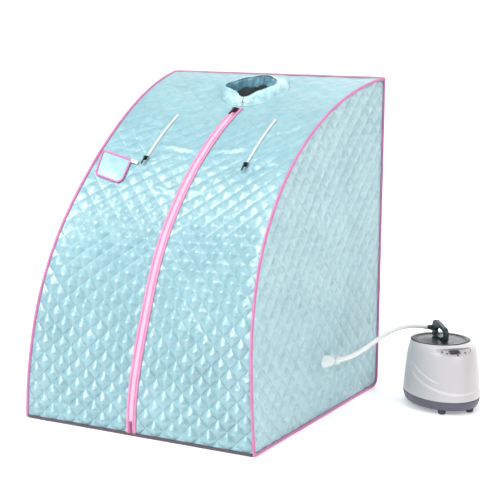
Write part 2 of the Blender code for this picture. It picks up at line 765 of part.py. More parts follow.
def control_panel(parent, housing, grey, glass, button_mat):
    matrix = panel_matrix()
    cutter = crescent_prism("panel_cut", 0.0004, -0.0105, 0.030)
    cutter.transform(matrix)
    boolean(housing, cutter, "DIFFERENCE", parent)
    top = PANEL_THICKNESS - PANEL_DEPTH
    face = crescent_prism("control_panel", 0.0, -PANEL_DEPTH, top)
    face.transform(matrix)
    panel = add_object("control_panel", face, grey, parent=parent)
    low = (-0.0155, -0.0055, top + 0.0003)
    window = box_mesh("display_window", low, (0.0115, 0.0050, top + 0.0015), 0.0004)
    window.transform(matrix)
    add_object("display_window", window, glass, parent=parent)
    for index, (x, y) in enumerate(BUTTON_SPOTS, start=1):
        hole = rod("button_hole", (x, y, -0.02), (x, y, 0.01), BUTTON_RADIUS + 0.0004, 16)
        hole.transform(matrix)
        boolean(panel, hole, "DIFFERENCE", parent)
        name = "steamer_button_" + str(index)
        cap = turned_solid(name, ((BUTTON_RADIUS, top - 0.0045), (BUTTON_RADIUS, top + 0.0010),
                                  (BUTTON_RADIUS * 0.75, top + 0.0016)), (x, y), 16)
        cap.transform(matrix)
        add_object(name, cap, button_mat, pivot=matrix @ Vector((x, y, top)), parent=parent)


def handle_outline(count=4):
    """Side view of the carrying handle: flat foot, rounded top sloping down to the front."""
    points = [Vector((0, 0.064, LID_TOP + FACE_GAP)), Vector((0, -0.026, LID_TOP + FACE_GAP))]
    for (y, z), start in (((-0.008, 0.2045), 180), ((0.046, 0.2140), 90)):
        radius = 0.0190 if start == 180 else 0.0200
        for i in range(count + 1):
            angle = math.radians(start - 90 * i / count)
            points.append(Vector((0, y + radius * math.cos(angle), z + radius * math.sin(angle))))
    return points


def lid(parent, dark, rubber):
    centre = (0, LID_SHIFT)
    cover = turned_solid("lid_cover", ((0.0720, 0.1762), (0.0815, 0.1768), (0.0815, 0.1810), (0.0765, 0.1850),
                                       (0.0700, LID_TOP)), centre)
    add_object("lid_cover", cover, dark, parent=parent)
    gasket = turned("lid_gasket", ((0.0765, 0.1729), (0.0795, 0.1729), (0.0795, 0.1757), (0.0765, 0.1757)),
                    centre)
    add_object("lid_gasket", gasket, rubber, parent=parent)
    half = 0.0085
    handle = loft("lid_handle", [[p + Vector((x, 0, 0)) for p in handle_outline()] for x in (-half, half)])
    obj = add_object("lid_handle", handle, dark, parent=parent)
    gap = [Vector((0, 0.021 + 0.027 * c, 0.2010 + 0.0085 * s)) for c, s in
           [(math.cos(2 * math.pi * i / 20), math.sin(2 * math.pi * i / 20)) for i in range(20)]]
    gap_mesh = loft("finger_gap", [[p + Vector((x, 0, 0)) for p in gap] for x in (-0.03, 0.03)])
    boolean(obj, gap_mesh, "DIFFERENCE", parent)
    turn_back = Matrix.Rotation(-STEAMER_TURN, 4, "Z") @ Matrix.Translation(-STEAMER_CENTRE)
    clearance = rod("nozzle_room", HOSE_END - Vector((0.02, 0, 0)), HOSE_END + Vector((0.0110, 0, 0)), 0.0080)
    clearance.transform(turn_back)
    boolean(obj, clearance, "DIFFERENCE", parent)
    boss = rod("nozzle_boss", HOSE_END + Vector((0.0262, 0, 0)), HOSE_END + Vector((0.0108, 0, 0)), 0.0085, 16)
    boss.transform(turn_back)
    boolean(obj, boss, "UNION", parent)
    loops = []
    for distance, radius in ((0.0104, 0.0072), (0.0050, 0.0072), (0.0050, 0.0060), (HOSE_GAP, 0.0060),
                             (HOSE_GAP, 0.0036), (0.0104, 0.0036)):
        loops.append(ring_points(HOSE_END + Vector((distance, 0, 0)), (1, 0, 0), radius, 16))
    nozzle = loft("steam_nozzle", loops, hollow=True)
    nozzle.transform(turn_back)
    add_object("steam_nozzle", nozzle, dark, parent=parent)


def power_inlet(dark):
    """Socket block on the steamer's back, facing +Y."""
    x = STEAMER_CENTRE.x - 0.034
    y = STEAMER_CENTRE.y + 0.1220
    block = box_mesh("power_inlet", (x - 0.015, y, 0.050), (x + 0.015, y + 0.0120, 0.070), 0.0010)
    obj = add_object("power_inlet", block, dark)
    socket = box_mesh("socket", (x - 0.0115, y + 0.0030, 0.0535), (x + 0.0115, y + 0.0200, 0.0665))
    boolean(obj, socket, "DIFFERENCE")


# ---------------------------------------------------------------- assembly

def build():
    for obj in list(bpy.data.objects):
        bpy.data.objects.remove(obj)
    satin = material("aqua_satin", (0.42, 0.70, 0.75), 0.38)
    lining = material("silver_lining", (0.62, 0.66, 0.68), 0.45)
    pink = material("pink_binding", (0.78, 0.30, 0.52), 0.6)
    white_tape = material("white_tape", (0.85, 0.87, 0.86), 0.6)
    dark_metal = material("dark_metal", (0.08, 0.07, 0.09), 0.35, 0.8)
    tube = material("coated_tube", (0.75, 0.76, 0.78), 0.35, 0.3)
    plastic = material("white_plastic", (0.80, 0.80, 0.79), 0.35)
    grey = material("grey_plastic", (0.10, 0.10, 0.13), 0.45)
    lid_plastic = material("lid_plastic", (0.045, 0.075, 0.075), 0.4)
    silver_plastic = material("silver_plastic", (0.70, 0.68, 0.68), 0.35)
    glass = material("display_glass", (0.02, 0.03, 0.02), 0.15)
    steel = material("steel", (0.65, 0.65, 0.66), 0.3, 1.0)
    rubber = material("silicone", (0.80, 0.80, 0.78), 0.6)
    board = material("circuit_board", (0.03, 0.20, 0.08), 0.5)
    hose_mat = material("white_hose", (0.85, 0.85, 0.83), 0.5)

    floor_panel(lining)
    back_panel(satin)
    side_panel("left_side_panel", -1, satin)
    right_side = side_panel("right_side_panel", 1, satin)
    front_panel("front_left_panel", -1, satin)
    front_panel("front_right_panel", 1, satin)
    top_panel(satin)
    neck_collar(satin)
    piping(pink)
    zip_tapes(pink, white_tape)
    pocket(satin)
    slider_and_pull("front_zip", 0.0, FRONT_SLIDER_S, 1.0, dark_metal, dark_metal)
    slider_and_pull("left_arm_zip", -ARM_ZIP_X, ARM_SLIDER_S, 0.75, dark_metal, dark_metal)
    slider_and_pull("right_arm_zip", ARM_ZIP_X, ARM_SLIDER_S, 0.75, dark_metal, dark_metal)
    frame(tube, plastic)
    steam_port(right_side, white_tape, white_tape, plastic)
    curve_tube("steam_hose", hose_route(), HOSE_RADIUS, hose_mat, resolution=2)

    seat = bpy.data.objects.new("steamer_seat", None)
    bpy.context.scene.collection.objects.link(seat)
    seat.location = STEAMER_CENTRE
    seat.rotation_euler = (0, 0, STEAMER_TURN)
    housing = steamer_shell(seat, plastic, grey, steel, board)
    control_panel(seat, housing, silver_plastic, glass, grey)
    lid(seat, lid_plastic, rubber)
    power_inlet(grey)


build()
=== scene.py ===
"""Looks for the portable steam sauna: quilted satin tent, zips, collar, hose and steamer.

Metres, +Z up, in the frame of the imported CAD. The tent's front faces -Y.
"""
import math

import bmesh
import bpy
from mathutils import Matrix, Vector, noise


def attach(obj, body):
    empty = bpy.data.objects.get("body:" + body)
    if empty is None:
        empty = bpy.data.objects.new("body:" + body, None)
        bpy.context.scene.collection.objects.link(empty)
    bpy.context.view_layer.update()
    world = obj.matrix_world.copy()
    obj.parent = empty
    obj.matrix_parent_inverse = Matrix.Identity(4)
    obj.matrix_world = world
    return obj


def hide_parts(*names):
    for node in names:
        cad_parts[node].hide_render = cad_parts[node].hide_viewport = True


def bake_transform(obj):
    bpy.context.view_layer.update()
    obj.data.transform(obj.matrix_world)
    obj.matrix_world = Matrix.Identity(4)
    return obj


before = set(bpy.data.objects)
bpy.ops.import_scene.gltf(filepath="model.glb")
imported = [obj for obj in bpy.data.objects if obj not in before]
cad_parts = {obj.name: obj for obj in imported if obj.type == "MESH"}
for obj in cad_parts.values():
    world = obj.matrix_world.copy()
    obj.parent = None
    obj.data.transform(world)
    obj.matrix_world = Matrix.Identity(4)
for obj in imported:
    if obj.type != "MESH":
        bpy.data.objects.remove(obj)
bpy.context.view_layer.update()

# Tent envelope, as in the part's source.
WIDTH = 0.70
FRONT_LEAN = math.radians(3.3)
OUTLINE_ARCS = ((1.230, math.radians(11.1)), (0.662, math.radians(31.7)), (0.969, math.radians(43.6)))
SEAM_BOW = 0.0476
SEAM_BOW_POWER = 1.28
FRONT_SAG = 0.028
SAG_HALF_WIDTH = 0.31
CORNER_RADIUS = 0.025
PIPING_RADIUS = 0.004
PIPING_HEIGHT = 0.0045
SEAM_ALLOWANCE = 0.0035
HEM_START = 0.0075
ZIP_END = 1.088
ZIP_HALF_WIDTH = 0.016
ZIP_HEM_SHIFT = 0.013
ARM_ZIP_X = 0.157
ARM_ZIP_SPAN = (0.790, 1.010)
POCKET_CORNERS = ((-0.292, 0.803), (-0.197, 0.785), (-0.189, 0.699), (-0.275, 0.715))
NECK_CENTRE = (0.0, 0.265)
NECK_RADIUS = 0.078
NECK_SEAM_RADIUS = 0.104
COLLAR_TOP = (
    (0.006, 0.178, 0.857), (0.042, 0.213, 0.876), (0.074, 0.256, 0.894), (0.044, 0.306, 0.9075),
    (-0.004, 0.334, 0.9145), (-0.052, 0.304, 0.9075), (-0.088, 0.230, 0.888), (-0.040, 0.203, 0.872))
COLLAR_FOOT = (
    (0.004, 0.172), (0.058, 0.196), (0.098, 0.262), (0.070, 0.336),
    (0.0, 0.362), (-0.070, 0.338), (-0.100, 0.262), (-0.066, 0.196))
COLLAR_MIDDLE = Vector((-0.002, 0.258))

# Hose and steamer, as in the part's source.
HOSE_RADIUS = 0.0065
HOSE_START = Vector((0.376, 0.053, 0.156))
HOSE_END = Vector((0.523, 0.352, 0.207))
HOSE_START_PULL = Vector((0.705, 0.681, 0.062)).normalized() * 0.095
HOSE_END_PULL = Vector((1.0, 0.020, -0.057)).normalized() * 0.137
HOSE_POINTS = 22
STEAMER_CENTRE = Vector((0.585, 0.308, 0.0))
STEAMER_TURN = math.radians(43.8)
LID_SHIFT = 0.017
PANEL_POINT = Vector((-0.002, -0.0915, 0.1725))
PANEL_TILT = math.radians(56.0)

# Quilting: diamonds with this diagonal, sewn through the padding.
QUILT_DIAGONAL = 0.0538
QUILT_PUFF = 0.0100
QUILT_SHIFT = 0.004
SIDE_QUILT_SHIFT = 0.01
FRONT_STITCH = 0.19
STITCH = 0.18
GRID = 0.0066
BACK_GRID = 0.0085
CLOTH_FRAMES = 14


# ---------------------------------------------------------------- camera and light

def make_camera():
    azimuth = math.radians(27.83)
    elevation = math.radians(9.72)
    target = Vector((0.1249, 0.0, 0.4484))
    back = Vector((math.sin(azimuth) * math.cos(elevation), -math.cos(azimuth) * math.cos(elevation),
                   math.sin(elevation)))
    camera = bpy.data.objects.new("camera", bpy.data.cameras.new("camera"))
    bpy.context.scene.collection.objects.link(camera)
    camera.location = target + back * 3.799
    upright = back.to_track_quat("Z", "Y")
    camera.rotation_euler = (upright @ Matrix.Rotation(math.radians(0.59), 3, "Z").to_quaternion()).to_euler()
    camera.data.sensor_width = 36
    camera.data.lens = 98.8
    bpy.context.scene.camera = camera


def area_light(name, location, target, size, power):
    light = bpy.data.objects.new(name, bpy.data.lights.new(name, "AREA"))
    light.data.shape = "RECTANGLE"
    light.data.size, light.data.size_y = size
    light.data.energy = power
    light.location = location
    light.rotation_euler = (Vector(location) - Vector(target)).to_track_quat("Z", "Y").to_euler()
    bpy.context.scene.collection.objects.link(light)


def make_studio():
    world = bpy.data.worlds.new("studio")
    world.use_nodes = True
    background = world.node_tree.nodes["Background"]
    background.inputs["Color"].default_value = (0.93, 0.96, 1.0, 1)
    background.inputs["Strength"].default_value = 0.28
    bpy.context.scene.world = world
    area_light("key", (-1.2, -2.1, 3.0), (0.0, 0.0, 0.45), (3.0, 1.5), 100)
    area_light("sheen", (-1.7, -3.3, 2.75), (0.0, -0.3, 0.50), (2.8, 0.35), 78)
    area_light("overhead", (0.2, 0.5, 3.2), (0.0, 0.1, 0.8), (1.4, 1.0), 22)
    area_light("side", (3.2, -0.9, 2.2), (0.3, 0.1, 0.4), (1.2, 1.2), 46)
    area_light("glow_through_cloth", (0.0, 0.05, 0.62), (0.0, 0.34, 0.88), (0.12, 0.12), 0.12)
    area_light("backdrop", (0.0, 1.6, 2.9), (0.0, 3.8, 1.2), (3.0, 0.6), 70)
    bpy.context.scene.view_settings.view_transform = "Standard"
    bm = bmesh.new()
    sweep = ((-4.0, 0.0), (2.6, 0.0), (3.1, 0.06), (3.5, 0.3), (3.75, 0.8), (3.8, 4.0))
    add_grid(bm, [[bm.verts.new((x, y, z - 0.0004)) for x in (-5.0, 0.0, 5.0)] for y, z in sweep])
    white = Nodes("studio_white").set(Base_Color=(0.93, 0.93, 0.93), Roughness=0.7,
                                      Emission_Color=(1.0, 1.0, 1.0), Emission_Strength=0.30)
    floor = link_mesh("studio_floor", bm, [white.material], None)


# ---------------------------------------------------------------- materials

class Nodes:
    """Short helpers around one material's node tree."""

    def __init__(self, name):
        self.material = bpy.data.materials.new(name)
        self.material.use_nodes = True
        self.tree = self.material.node_tree
        self.shader = self.tree.nodes["Principled BSDF"]
        coordinates = self.tree.nodes.new("ShaderNodeTexCoord")
        self.place = coordinates.outputs["Object"]

    def link(self, source, target):
        self.tree.links.new(source, target)

    def add(self, kind, numbers, links=()):
        """A node with numbers set on its sockets and other nodes linked to them."""
        node = self.tree.nodes.new("ShaderNode" + kind)
        for name, number in numbers.items():
            node.inputs[name].default_value = number
        for name, source in links:
            self.link(source, node.inputs[name])
        return node

    def noise(self, scale, detail=3.0, roughness=0.55, distortion=0.0):
        numbers = {"Scale": scale, "Detail": detail, "Roughness": roughness, "Distortion": distortion}
        return self.add("TexNoise", numbers, [("Vector", self.place)]).outputs["Fac"]

    def wave(self, scale, direction, distortion=0.0):
        node = self.add("TexWave", {"Scale": scale, "Distortion": distortion}, [("Vector", self.place)])
        node.bands_direction = direction
        return node.outputs["Fac"]

    def ramp(self, value, stops):
        node = self.tree.nodes.new("ShaderNodeValToRGB")
        while len(node.color_ramp.elements) < len(stops):
            node.color_ramp.elements.new(0.5)
        for element, (position, colour) in zip(node.color_ramp.elements, stops):
            element.position = position
            element.color = (*colour, 1)
        self.link(value, node.inputs["Fac"])
        return node.outputs["Color"]

    def maths(self, operation, first, second):
        node = self.tree.nodes.new("ShaderNodeMath")
        node.operation = operation
        for socket, value in zip(node.inputs, (first, second)):
            if isinstance(value, (int, float)):
                socket.default_value = value
            else:
                self.link(value, socket)
        return node.outputs[0]

    def map_range(self, value, low, high, to_low, to_high):
        numbers = {"From Min": low, "From Max": high, "To Min": to_low, "To Max": to_high}
        return self.add("MapRange", numbers, [("Value", value)]).outputs["Result"]

    def bump(self, height, distance, strength=1.0, previous=None):
        links = [("Height", height)] + ([("Normal", previous)] if previous else [])
        return self.add("Bump", {"Strength": strength, "Distance": distance}, links).outputs["Normal"]

    def set(self, **values):
        for name, value in values.items():
            socket = self.shader.inputs[name.replace("_", " ")]
            if isinstance(value, (int, float)):
                socket.default_value = value
            elif isinstance(value, tuple):
                socket.default_value = (*value, 1)
            else:
                self.link(value, socket)
        return self


def quilt_height(nodes, fade):
    """Padding between the sewn lines, from the cloth's own flat coordinates."""
    cloth = nodes.add("UVMap", {})
    cloth.uv_map = "cloth"
    split = nodes.add("SeparateXYZ", {}, [("Vector", cloth.outputs["UV"])])
    across, along = split.outputs["X"], split.outputs["Y"]
    ways = []
    for operation in ("ADD", "SUBTRACT"):
        turn = nodes.maths("DIVIDE", nodes.maths(operation, across, along), QUILT_DIAGONAL)
        ways.append(nodes.maths("PINGPONG", turn, 0.5))
    both = nodes.maths("ADD", nodes.maths("ADD", ways[0], ways[1]), 0.01)
    facet = nodes.maths("DIVIDE", nodes.maths("MULTIPLY", ways[0], ways[1]), both)
    padding = nodes.maths("MULTIPLY", facet, nodes.map_range(nodes.noise(17.0), 0.3, 0.7, 3.6, 8.0))
    stitch = nodes.map_range(facet, 0.0, 0.05, 0.0, 0.16)
    height = nodes.maths("ADD", padding, stitch)
    return nodes.maths("MULTIPLY", height, nodes.map_range(along, *fade))


def satin(name, light, dark, crease, gloss, quilt=None, shine=1.75):
    """Woven satin with fine thread and small creases; quilt is (depth, the fade along the cloth)."""
    nodes = Nodes(name)
    broad = nodes.noise(7.0, 3.0)
    crumple = nodes.noise(46.0, 4.0, 0.6, 0.8)
    fine = nodes.noise(170.0, 2.0, 0.6, 0.6)
    nodes.set(Base_Color=nodes.ramp(nodes.maths("ADD", nodes.maths("MULTIPLY", broad, 0.5),
                                                nodes.maths("MULTIPLY", crumple, 0.5)),
                                    [(0.32, dark), (0.66, light)]),
              Roughness=nodes.map_range(crumple, 0.3, 0.7, gloss - 0.03, gloss + 0.09),
              Sheen_Weight=0.25, Sheen_Roughness=0.4, Specular_IOR_Level=1.0, IOR=shine)
    thread = nodes.maths("ADD", nodes.wave(900.0, "X"), nodes.wave(900.0, "Z"))
    normal = nodes.bump(crumple, 0.0032 * crease, 0.55)
    if quilt:
        normal = nodes.bump(quilt_height(nodes, quilt[1:]), quilt[0], 1.0, normal)
    normal = nodes.bump(fine, 0.0006 * crease, 0.5, normal)
    nodes.set(Normal=nodes.bump(thread, 0.00005, 0.3, normal))
    return nodes.material


def woven(name, light, dark, scale, depth, roughness=0.6):
    """Narrow woven tape or binding, its ribs across."""
    nodes = Nodes(name)
    ribs = nodes.wave(scale, "DIAGONAL", distortion=1.5)
    cross = nodes.wave(scale * 1.7, "Z", distortion=0.8)
    weave = nodes.maths("MULTIPLY", ribs, cross)
    tone = nodes.maths("ADD", nodes.maths("MULTIPLY", weave, 0.5),
                       nodes.maths("MULTIPLY", nodes.noise(38.0), 0.5))
    nodes.set(Base_Color=nodes.ramp(tone, [(0.2, dark), (0.62, light)]),
              Roughness=nodes.map_range(weave, 0, 1, roughness - 0.08, roughness + 0.08),
              Sheen_Weight=0.2, Normal=nodes.bump(weave, depth, 0.6))
    return nodes.material


def moulded(name, colour, roughness, grain=900.0, depth=0.00006, variation=0.06, **extra):
    """Moulded plastic or rubber: fine grain, slight tone and gloss variation."""
    nodes = Nodes(name)
    tone = nodes.noise(14.0, 3.0)
    darker = tuple(c * (1 - variation) for c in colour)
    brighter = tuple(min(1.0, c * (1 + variation * 0.6)) for c in colour)
    nodes.set(Base_Color=nodes.ramp(tone, [(0.3, darker), (0.7, brighter)]),
              Roughness=nodes.map_range(nodes.noise(60.0, 4.0), 0.3, 0.7, roughness - 0.05, roughness + 0.05),
              Normal=nodes.bump(nodes.noise(grain, 2.0), depth, 0.5))
    nodes.set(**extra)
    return nodes.material


def make_materials():
    return {
        "satin": satin("aqua_satin_cloth", (0.240, 0.455, 0.505), (0.160, 0.355, 0.412), 1.0, 0.40,
                       (0.0044, 0.22, 0.62, 1.0, 0.28)),
        "plain": satin("aqua_satin_plain", (0.335, 0.560, 0.610), (0.255, 0.475, 0.535), 1.0, 0.42),
        "side": satin("aqua_satin_side", (0.430, 0.675, 0.715), (0.270, 0.500, 0.565), 4.2, 0.40,
                      (0.0040, 2.0, 3.0, 1.0, 0.0)),
        "collar": satin("aqua_satin_collar", (0.470, 0.660, 0.690), (0.210, 0.480, 0.530), 3.4, 0.40),
        "inner": satin("aqua_satin_inner", (0.200, 0.430, 0.520), (0.030, 0.110, 0.160), 3.0, 0.60,
                       None, 1.3),
        # Darker copy of the inside satin: painted shade for the lower inside of the collar, seen through the
        # neck opening, and for the closure slit.
        "shadow": satin("painted_shade_collar_inside", (0.200, 0.260, 0.260), (0.110, 0.160, 0.165), 1.0, 0.6,
                        None, 1.3),
        "piping": woven("pink_binding", (0.68, 0.25, 0.46), (0.52, 0.14, 0.33), 420.0, 0.0002),
        # The hem binding is the pink piping painted near black: painted shade, as it sits tucked under the
        # hem in shadow.
        "hem": woven("painted_shade_hem_binding", (0.11, 0.060, 0.090), (0.05, 0.035, 0.050), 420.0, 0.0002),
        "top_edge": woven("mauve_top_binding", (0.50, 0.27, 0.37), (0.38, 0.20, 0.28), 420.0, 0.0002),
        "tape": woven("pink_zip_tape", (0.76, 0.33, 0.51), (0.62, 0.22, 0.40), 360.0, 0.0002),
        "coil": woven("pink_zip_coil", (0.94, 0.58, 0.72), (0.84, 0.46, 0.61), 500.0, 0.0001, 0.40),
        # Dark magenta for the foot of the front zip: painted shade of the gap between the tapes below the
        # coil.
        "zip_gap_shade": woven("painted_shade_zip_gap", (0.36, 0.05, 0.17), (0.22, 0.03, 0.10), 420.0, 0.0002),
        "white_tape": woven("white_zip_tape", (0.80, 0.85, 0.86), (0.62, 0.70, 0.72), 420.0, 0.0002),
        "white_coil": woven("white_zip_coil", (0.95, 0.96, 0.96), (0.82, 0.86, 0.87), 520.0, 0.0001, 0.45),
        "sleeve": woven("white_sleeve_cloth", (0.90, 0.93, 0.93), (0.76, 0.82, 0.84), 300.0, 0.0003),
        "lining": satin("silver_lining_cloth", (0.52, 0.57, 0.60), (0.43, 0.48, 0.51), 1.0, 0.4),
        "plum": moulded("plum_zip_metal", (0.085, 0.022, 0.045), 0.34, Metallic=0.6),
        "green": moulded("dark_green_zip_metal", (0.020, 0.050, 0.048), 0.36, Metallic=0.6),
        "tube": moulded("coated_tube_metal", (0.66, 0.68, 0.70), 0.35, Metallic=0.4),
        "block": moulded("white_socket_plastic", (0.80, 0.80, 0.79), 0.42),
        "white": moulded("white_housing_plastic", (0.56, 0.530, 0.540), 0.34, 900.0, 0.00004, 0.02,
                         Coat_Weight=0.2, Coat_Roughness=0.2),
        # Plastic lighter than the housing for the raised swooshes: the ridges are real, their lighter colour
        # is painted highlight.
        "ridge": moulded("ridge_plastic_painted_highlight", (0.66, 0.635, 0.645), 0.30, 900.0, 0.00004, 0.02),
        "base": moulded("violet_grey_plastic", (0.105, 0.100, 0.138), 0.45),
        "foot": moulded("dark_rubber_foot", (0.045, 0.045, 0.060), 0.7),
        "lid": moulded("dark_lid_plastic", (0.018, 0.027, 0.025), 0.34),
        "lid_ring": moulded("dark_lid_ring_plastic", (0.008, 0.018, 0.017), 0.42),
        "handle": moulded("dark_handle_plastic", (0.009, 0.021, 0.020), 0.42),
        "panel": moulded("silver_panel_plastic", (0.47, 0.45, 0.46), 0.33),
        "display": moulded("dark_display_glass", (0.020, 0.030, 0.022), 0.12, Coat_Weight=0.6),
        "button": moulded("dark_button_plastic", (0.10, 0.09, 0.11), 0.4),
        "silicone": moulded("seal_silicone", (0.80, 0.80, 0.78), 0.55),
        "hose": moulded("white_hose_silicone", (0.88, 0.88, 0.86), 0.42, 700.0, 0.0001, 0.04,
                        Subsurface_Weight=0.08),
        "steel": moulded("brushed_pot_steel", (0.62, 0.62, 0.63), 0.28, Metallic=1.0),
        "board": moulded("green_board_laminate", (0.02, 0.16, 0.06), 0.5),
    }


# ---------------------------------------------------------------- tent surfaces

def outline_arcs():
    heading = math.pi / 2 + FRONT_LEAN
    y = 0.0
    z = 0.0
    length = 0.0
    arcs = []
    for radius, sweep in OUTLINE_ARCS:
        centre = (y + radius * math.sin(heading), z - radius * math.cos(heading))
        arcs.append([centre, radius, heading, length])
        heading -= sweep
        y = centre[0] - radius * math.sin(heading)
        z = centre[1] + radius * math.cos(heading)
        length += radius * sweep
    for arc in arcs:
        arc[0] = (arc[0][0] - y / 2, arc[0][1])
    return arcs, y, z, length


ARCS, DEPTH, HEIGHT, OUTLINE_LENGTH = outline_arcs()


def outline(s):
    arc = [a for a in ARCS if a[3] <= s + 1e-12 or a is ARCS[0]][-1]
    centre, radius, heading, start = arc
    angle = heading - (s - start) / radius
    normal = (-math.sin(angle), math.cos(angle))
    return (centre[0] + radius * normal[0], centre[1] + radius * normal[1]), normal


def smooth_step(value, low, high):
    t = min(1.0, max(0.0, (value - low) / (high - low)))
    return t * t * (3 - 2 * t)


def sag(x, s):
    across = max(0.0, 1 - (x / SAG_HALF_WIDTH) ** 2) ** 1.5
    return FRONT_SAG * across * smooth_step(s, 0.03, 0.40) * (1 - smooth_step(s, 1.12, 1.335))


def seam_x(s):
    return WIDTH / 2 - SEAM_BOW * math.sin(math.pi * (max(0.0, s) / OUTLINE_LENGTH) ** SEAM_BOW_POWER)


def zip_x(s):
    return -ZIP_HEM_SHIFT * (1 - smooth_step(s, 0.0, 0.36))


def skin_point(x, s, lift):
    (y, z), normal = outline(s)
    offset = lift - sag(x, s)
    return Vector((x, y + normal[0] * offset, z + normal[1] * offset))


POLAR = []
for step in range(241):
    (polar_y, polar_z), _ = outline(OUTLINE_LENGTH * step / 240)
    POLAR.append((math.atan2(polar_z, DEPTH / 2 - polar_y), math.hypot(polar_z, DEPTH / 2 - polar_y),
                  OUTLINE_LENGTH * step / 240))


def side_x(y, z):
    angle = math.atan2(max(z, 0.0), DEPTH / 2 - y)
    high = next((row for row in POLAR[1:] if row[0] >= angle), POLAR[-1])
    low = POLAR[POLAR.index(high) - 1]
    t = min(1.0, max(0.0, (angle - low[0]) / (high[0] - low[0])))
    reach = low[1] + t * (high[1] - low[1])
    s = low[2] + t * (high[2] - low[2])
    return seam_x(s) + (WIDTH / 2 - seam_x(s)) * (1 - (math.hypot(z, DEPTH / 2 - y) / reach) ** 2)


def skin_height(x, y):
    low = 0.8
    high = OUTLINE_LENGTH
    for _ in range(30):
        middle = (low + high) / 2
        if skin_point(x, middle, 0.0).y < y:
            low = middle
        else:
            high = middle
    return skin_point(x, low, 0.0).z


def diamond(u, v):
    """Height of the padding between diamond stitch lines, 0 on a line and 1 in the middle."""
    a = abs(math.sin(math.pi * (u + v) / QUILT_DIAGONAL))
    b = abs(math.sin(math.pi * (u - v) / QUILT_DIAGONAL))
    facet = 2 * math.asin(min(a, b)) / math.pi
    return 0.6 * facet + 0.4 * (a * b) ** 0.78


def rumple(x, y, z, scale, seed):
    return noise.fractal(Vector((x * scale + seed, y * scale, z * scale)), 0.9, 2.1, 4)


# ---------------------------------------------------------------- object helpers

def link_mesh(name, bm, materials, body="root"):
    """Turns the bmesh into a smooth object that rides on the body."""
    mesh = bpy.data.meshes.new(name)
    bm.to_mesh(mesh)
    bm.free()
    mesh.shade_smooth()
    obj = bpy.data.objects.new(name, mesh)
    bpy.context.scene.collection.objects.link(obj)
    for item in materials:
        mesh.materials.append(item)
    if body:
        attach(obj, body)
    return obj


def apply_modifiers(obj):
    """Bakes the object's modifiers into its mesh."""
    graph = bpy.context.evaluated_depsgraph_get()
    mesh = bpy.data.meshes.new_from_object(obj.evaluated_get(graph))
    obj.modifiers.clear()
    obj.data = mesh


def cut(obj, cutters):
    """Cuts the closed bodies out of the object and removes them."""
    for cutter in cutters:
        modifier = obj.modifiers.new("cut", "BOOLEAN")
        modifier.operation = "DIFFERENCE"
        modifier.object = cutter
        modifier.solver = "EXACT"
    apply_modifiers(obj)
    for cutter in cutters:
        bpy.data.objects.remove(cutter)
    obj.data.shade_smooth()
    obj.data.set_sharp_from_angle(angle=math.radians(35))


def add_grid(bm, rows):
    for low, high in zip(rows, rows[1:]):
        for j in range(len(low) - 1):
            bm.faces.new((low[j], low[j + 1], high[j + 1], high[j]))


def add_loft(bm, loops, closed=True, caps=True, ring=False):
    rows = [[bm.verts.new(point) for point in loop] for loop in loops]
    for low, high in list(zip(rows, rows[1:])) + ([(rows[-1], rows[0])] if ring else []):
        count = len(low)
        for j in range(count if closed else count - 1):
            k = (j + 1) % count
            bm.faces.new((low[j], low[k], high[k], high[j]))
    if caps and closed and not ring:
        bm.faces.new(rows[0])
        bm.faces.new(rows[-1])


def face_out(bm, away):
    """Turns an open sheet's faces towards a direction."""
    bmesh.ops.recalc_face_normals(bm, faces=bm.faces)
    if sum(face.normal.dot(away) for face in bm.faces) < 0:
        bmesh.ops.reverse_faces(bm, faces=bm.faces)


def loft(name, loops, material, body="root", **shape):
    """A body through rows of points; ring joins the last row to the first."""
    bm = bmesh.new()
    add_loft(bm, loops, **shape)
    bmesh.ops.recalc_face_normals(bm, faces=bm.faces)
    return link_mesh(name, bm, material if isinstance(material, list) else [material], body)


def sharpen(obj, degrees):
    obj.data.set_sharp_from_angle(angle=math.radians(degrees))
    return obj


def turns(count):
    """The angles that share a full turn."""
    return [2 * math.pi * i / count for i in range(count)]


def ring_points(centre, axis, radius, count):
    axis = Vector(axis).normalized()
    side = axis.cross(Vector((0, 0, 1))).normalized()
    up = side.cross(axis)
    return [Vector(centre) + side * math.cos(angle) * radius + up * math.sin(angle) * radius
            for angle in turns(count)]


def tube(name, points, radius, material, body="root", count=10, closed=False):
    """A round tube through points, its rings turned with the path."""
    last = len(points)
    loops = []
    side = None
    for i, point in enumerate(points):
        before = points[(i - 1) % last] if closed or i else point
        after = points[(i + 1) % last] if closed or i < last - 1 else point
        axis = (Vector(after) - Vector(before)).normalized()
        side = axis.orthogonal().normalized() if side is None else (side - axis * side.dot(axis)).normalized()
        up = axis.cross(side)
        loops.append([Vector(point) + side * math.cos(angle) * radius + up * math.sin(angle) * radius
                      for angle in turns(count)])
    return loft(name, loops, material, body, ring=closed, caps=not closed)


def spread(start, end, count):
    return [start + (end - start) * i / count for i in range(count + 1)]


# ---------------------------------------------------------------- quilted cloth

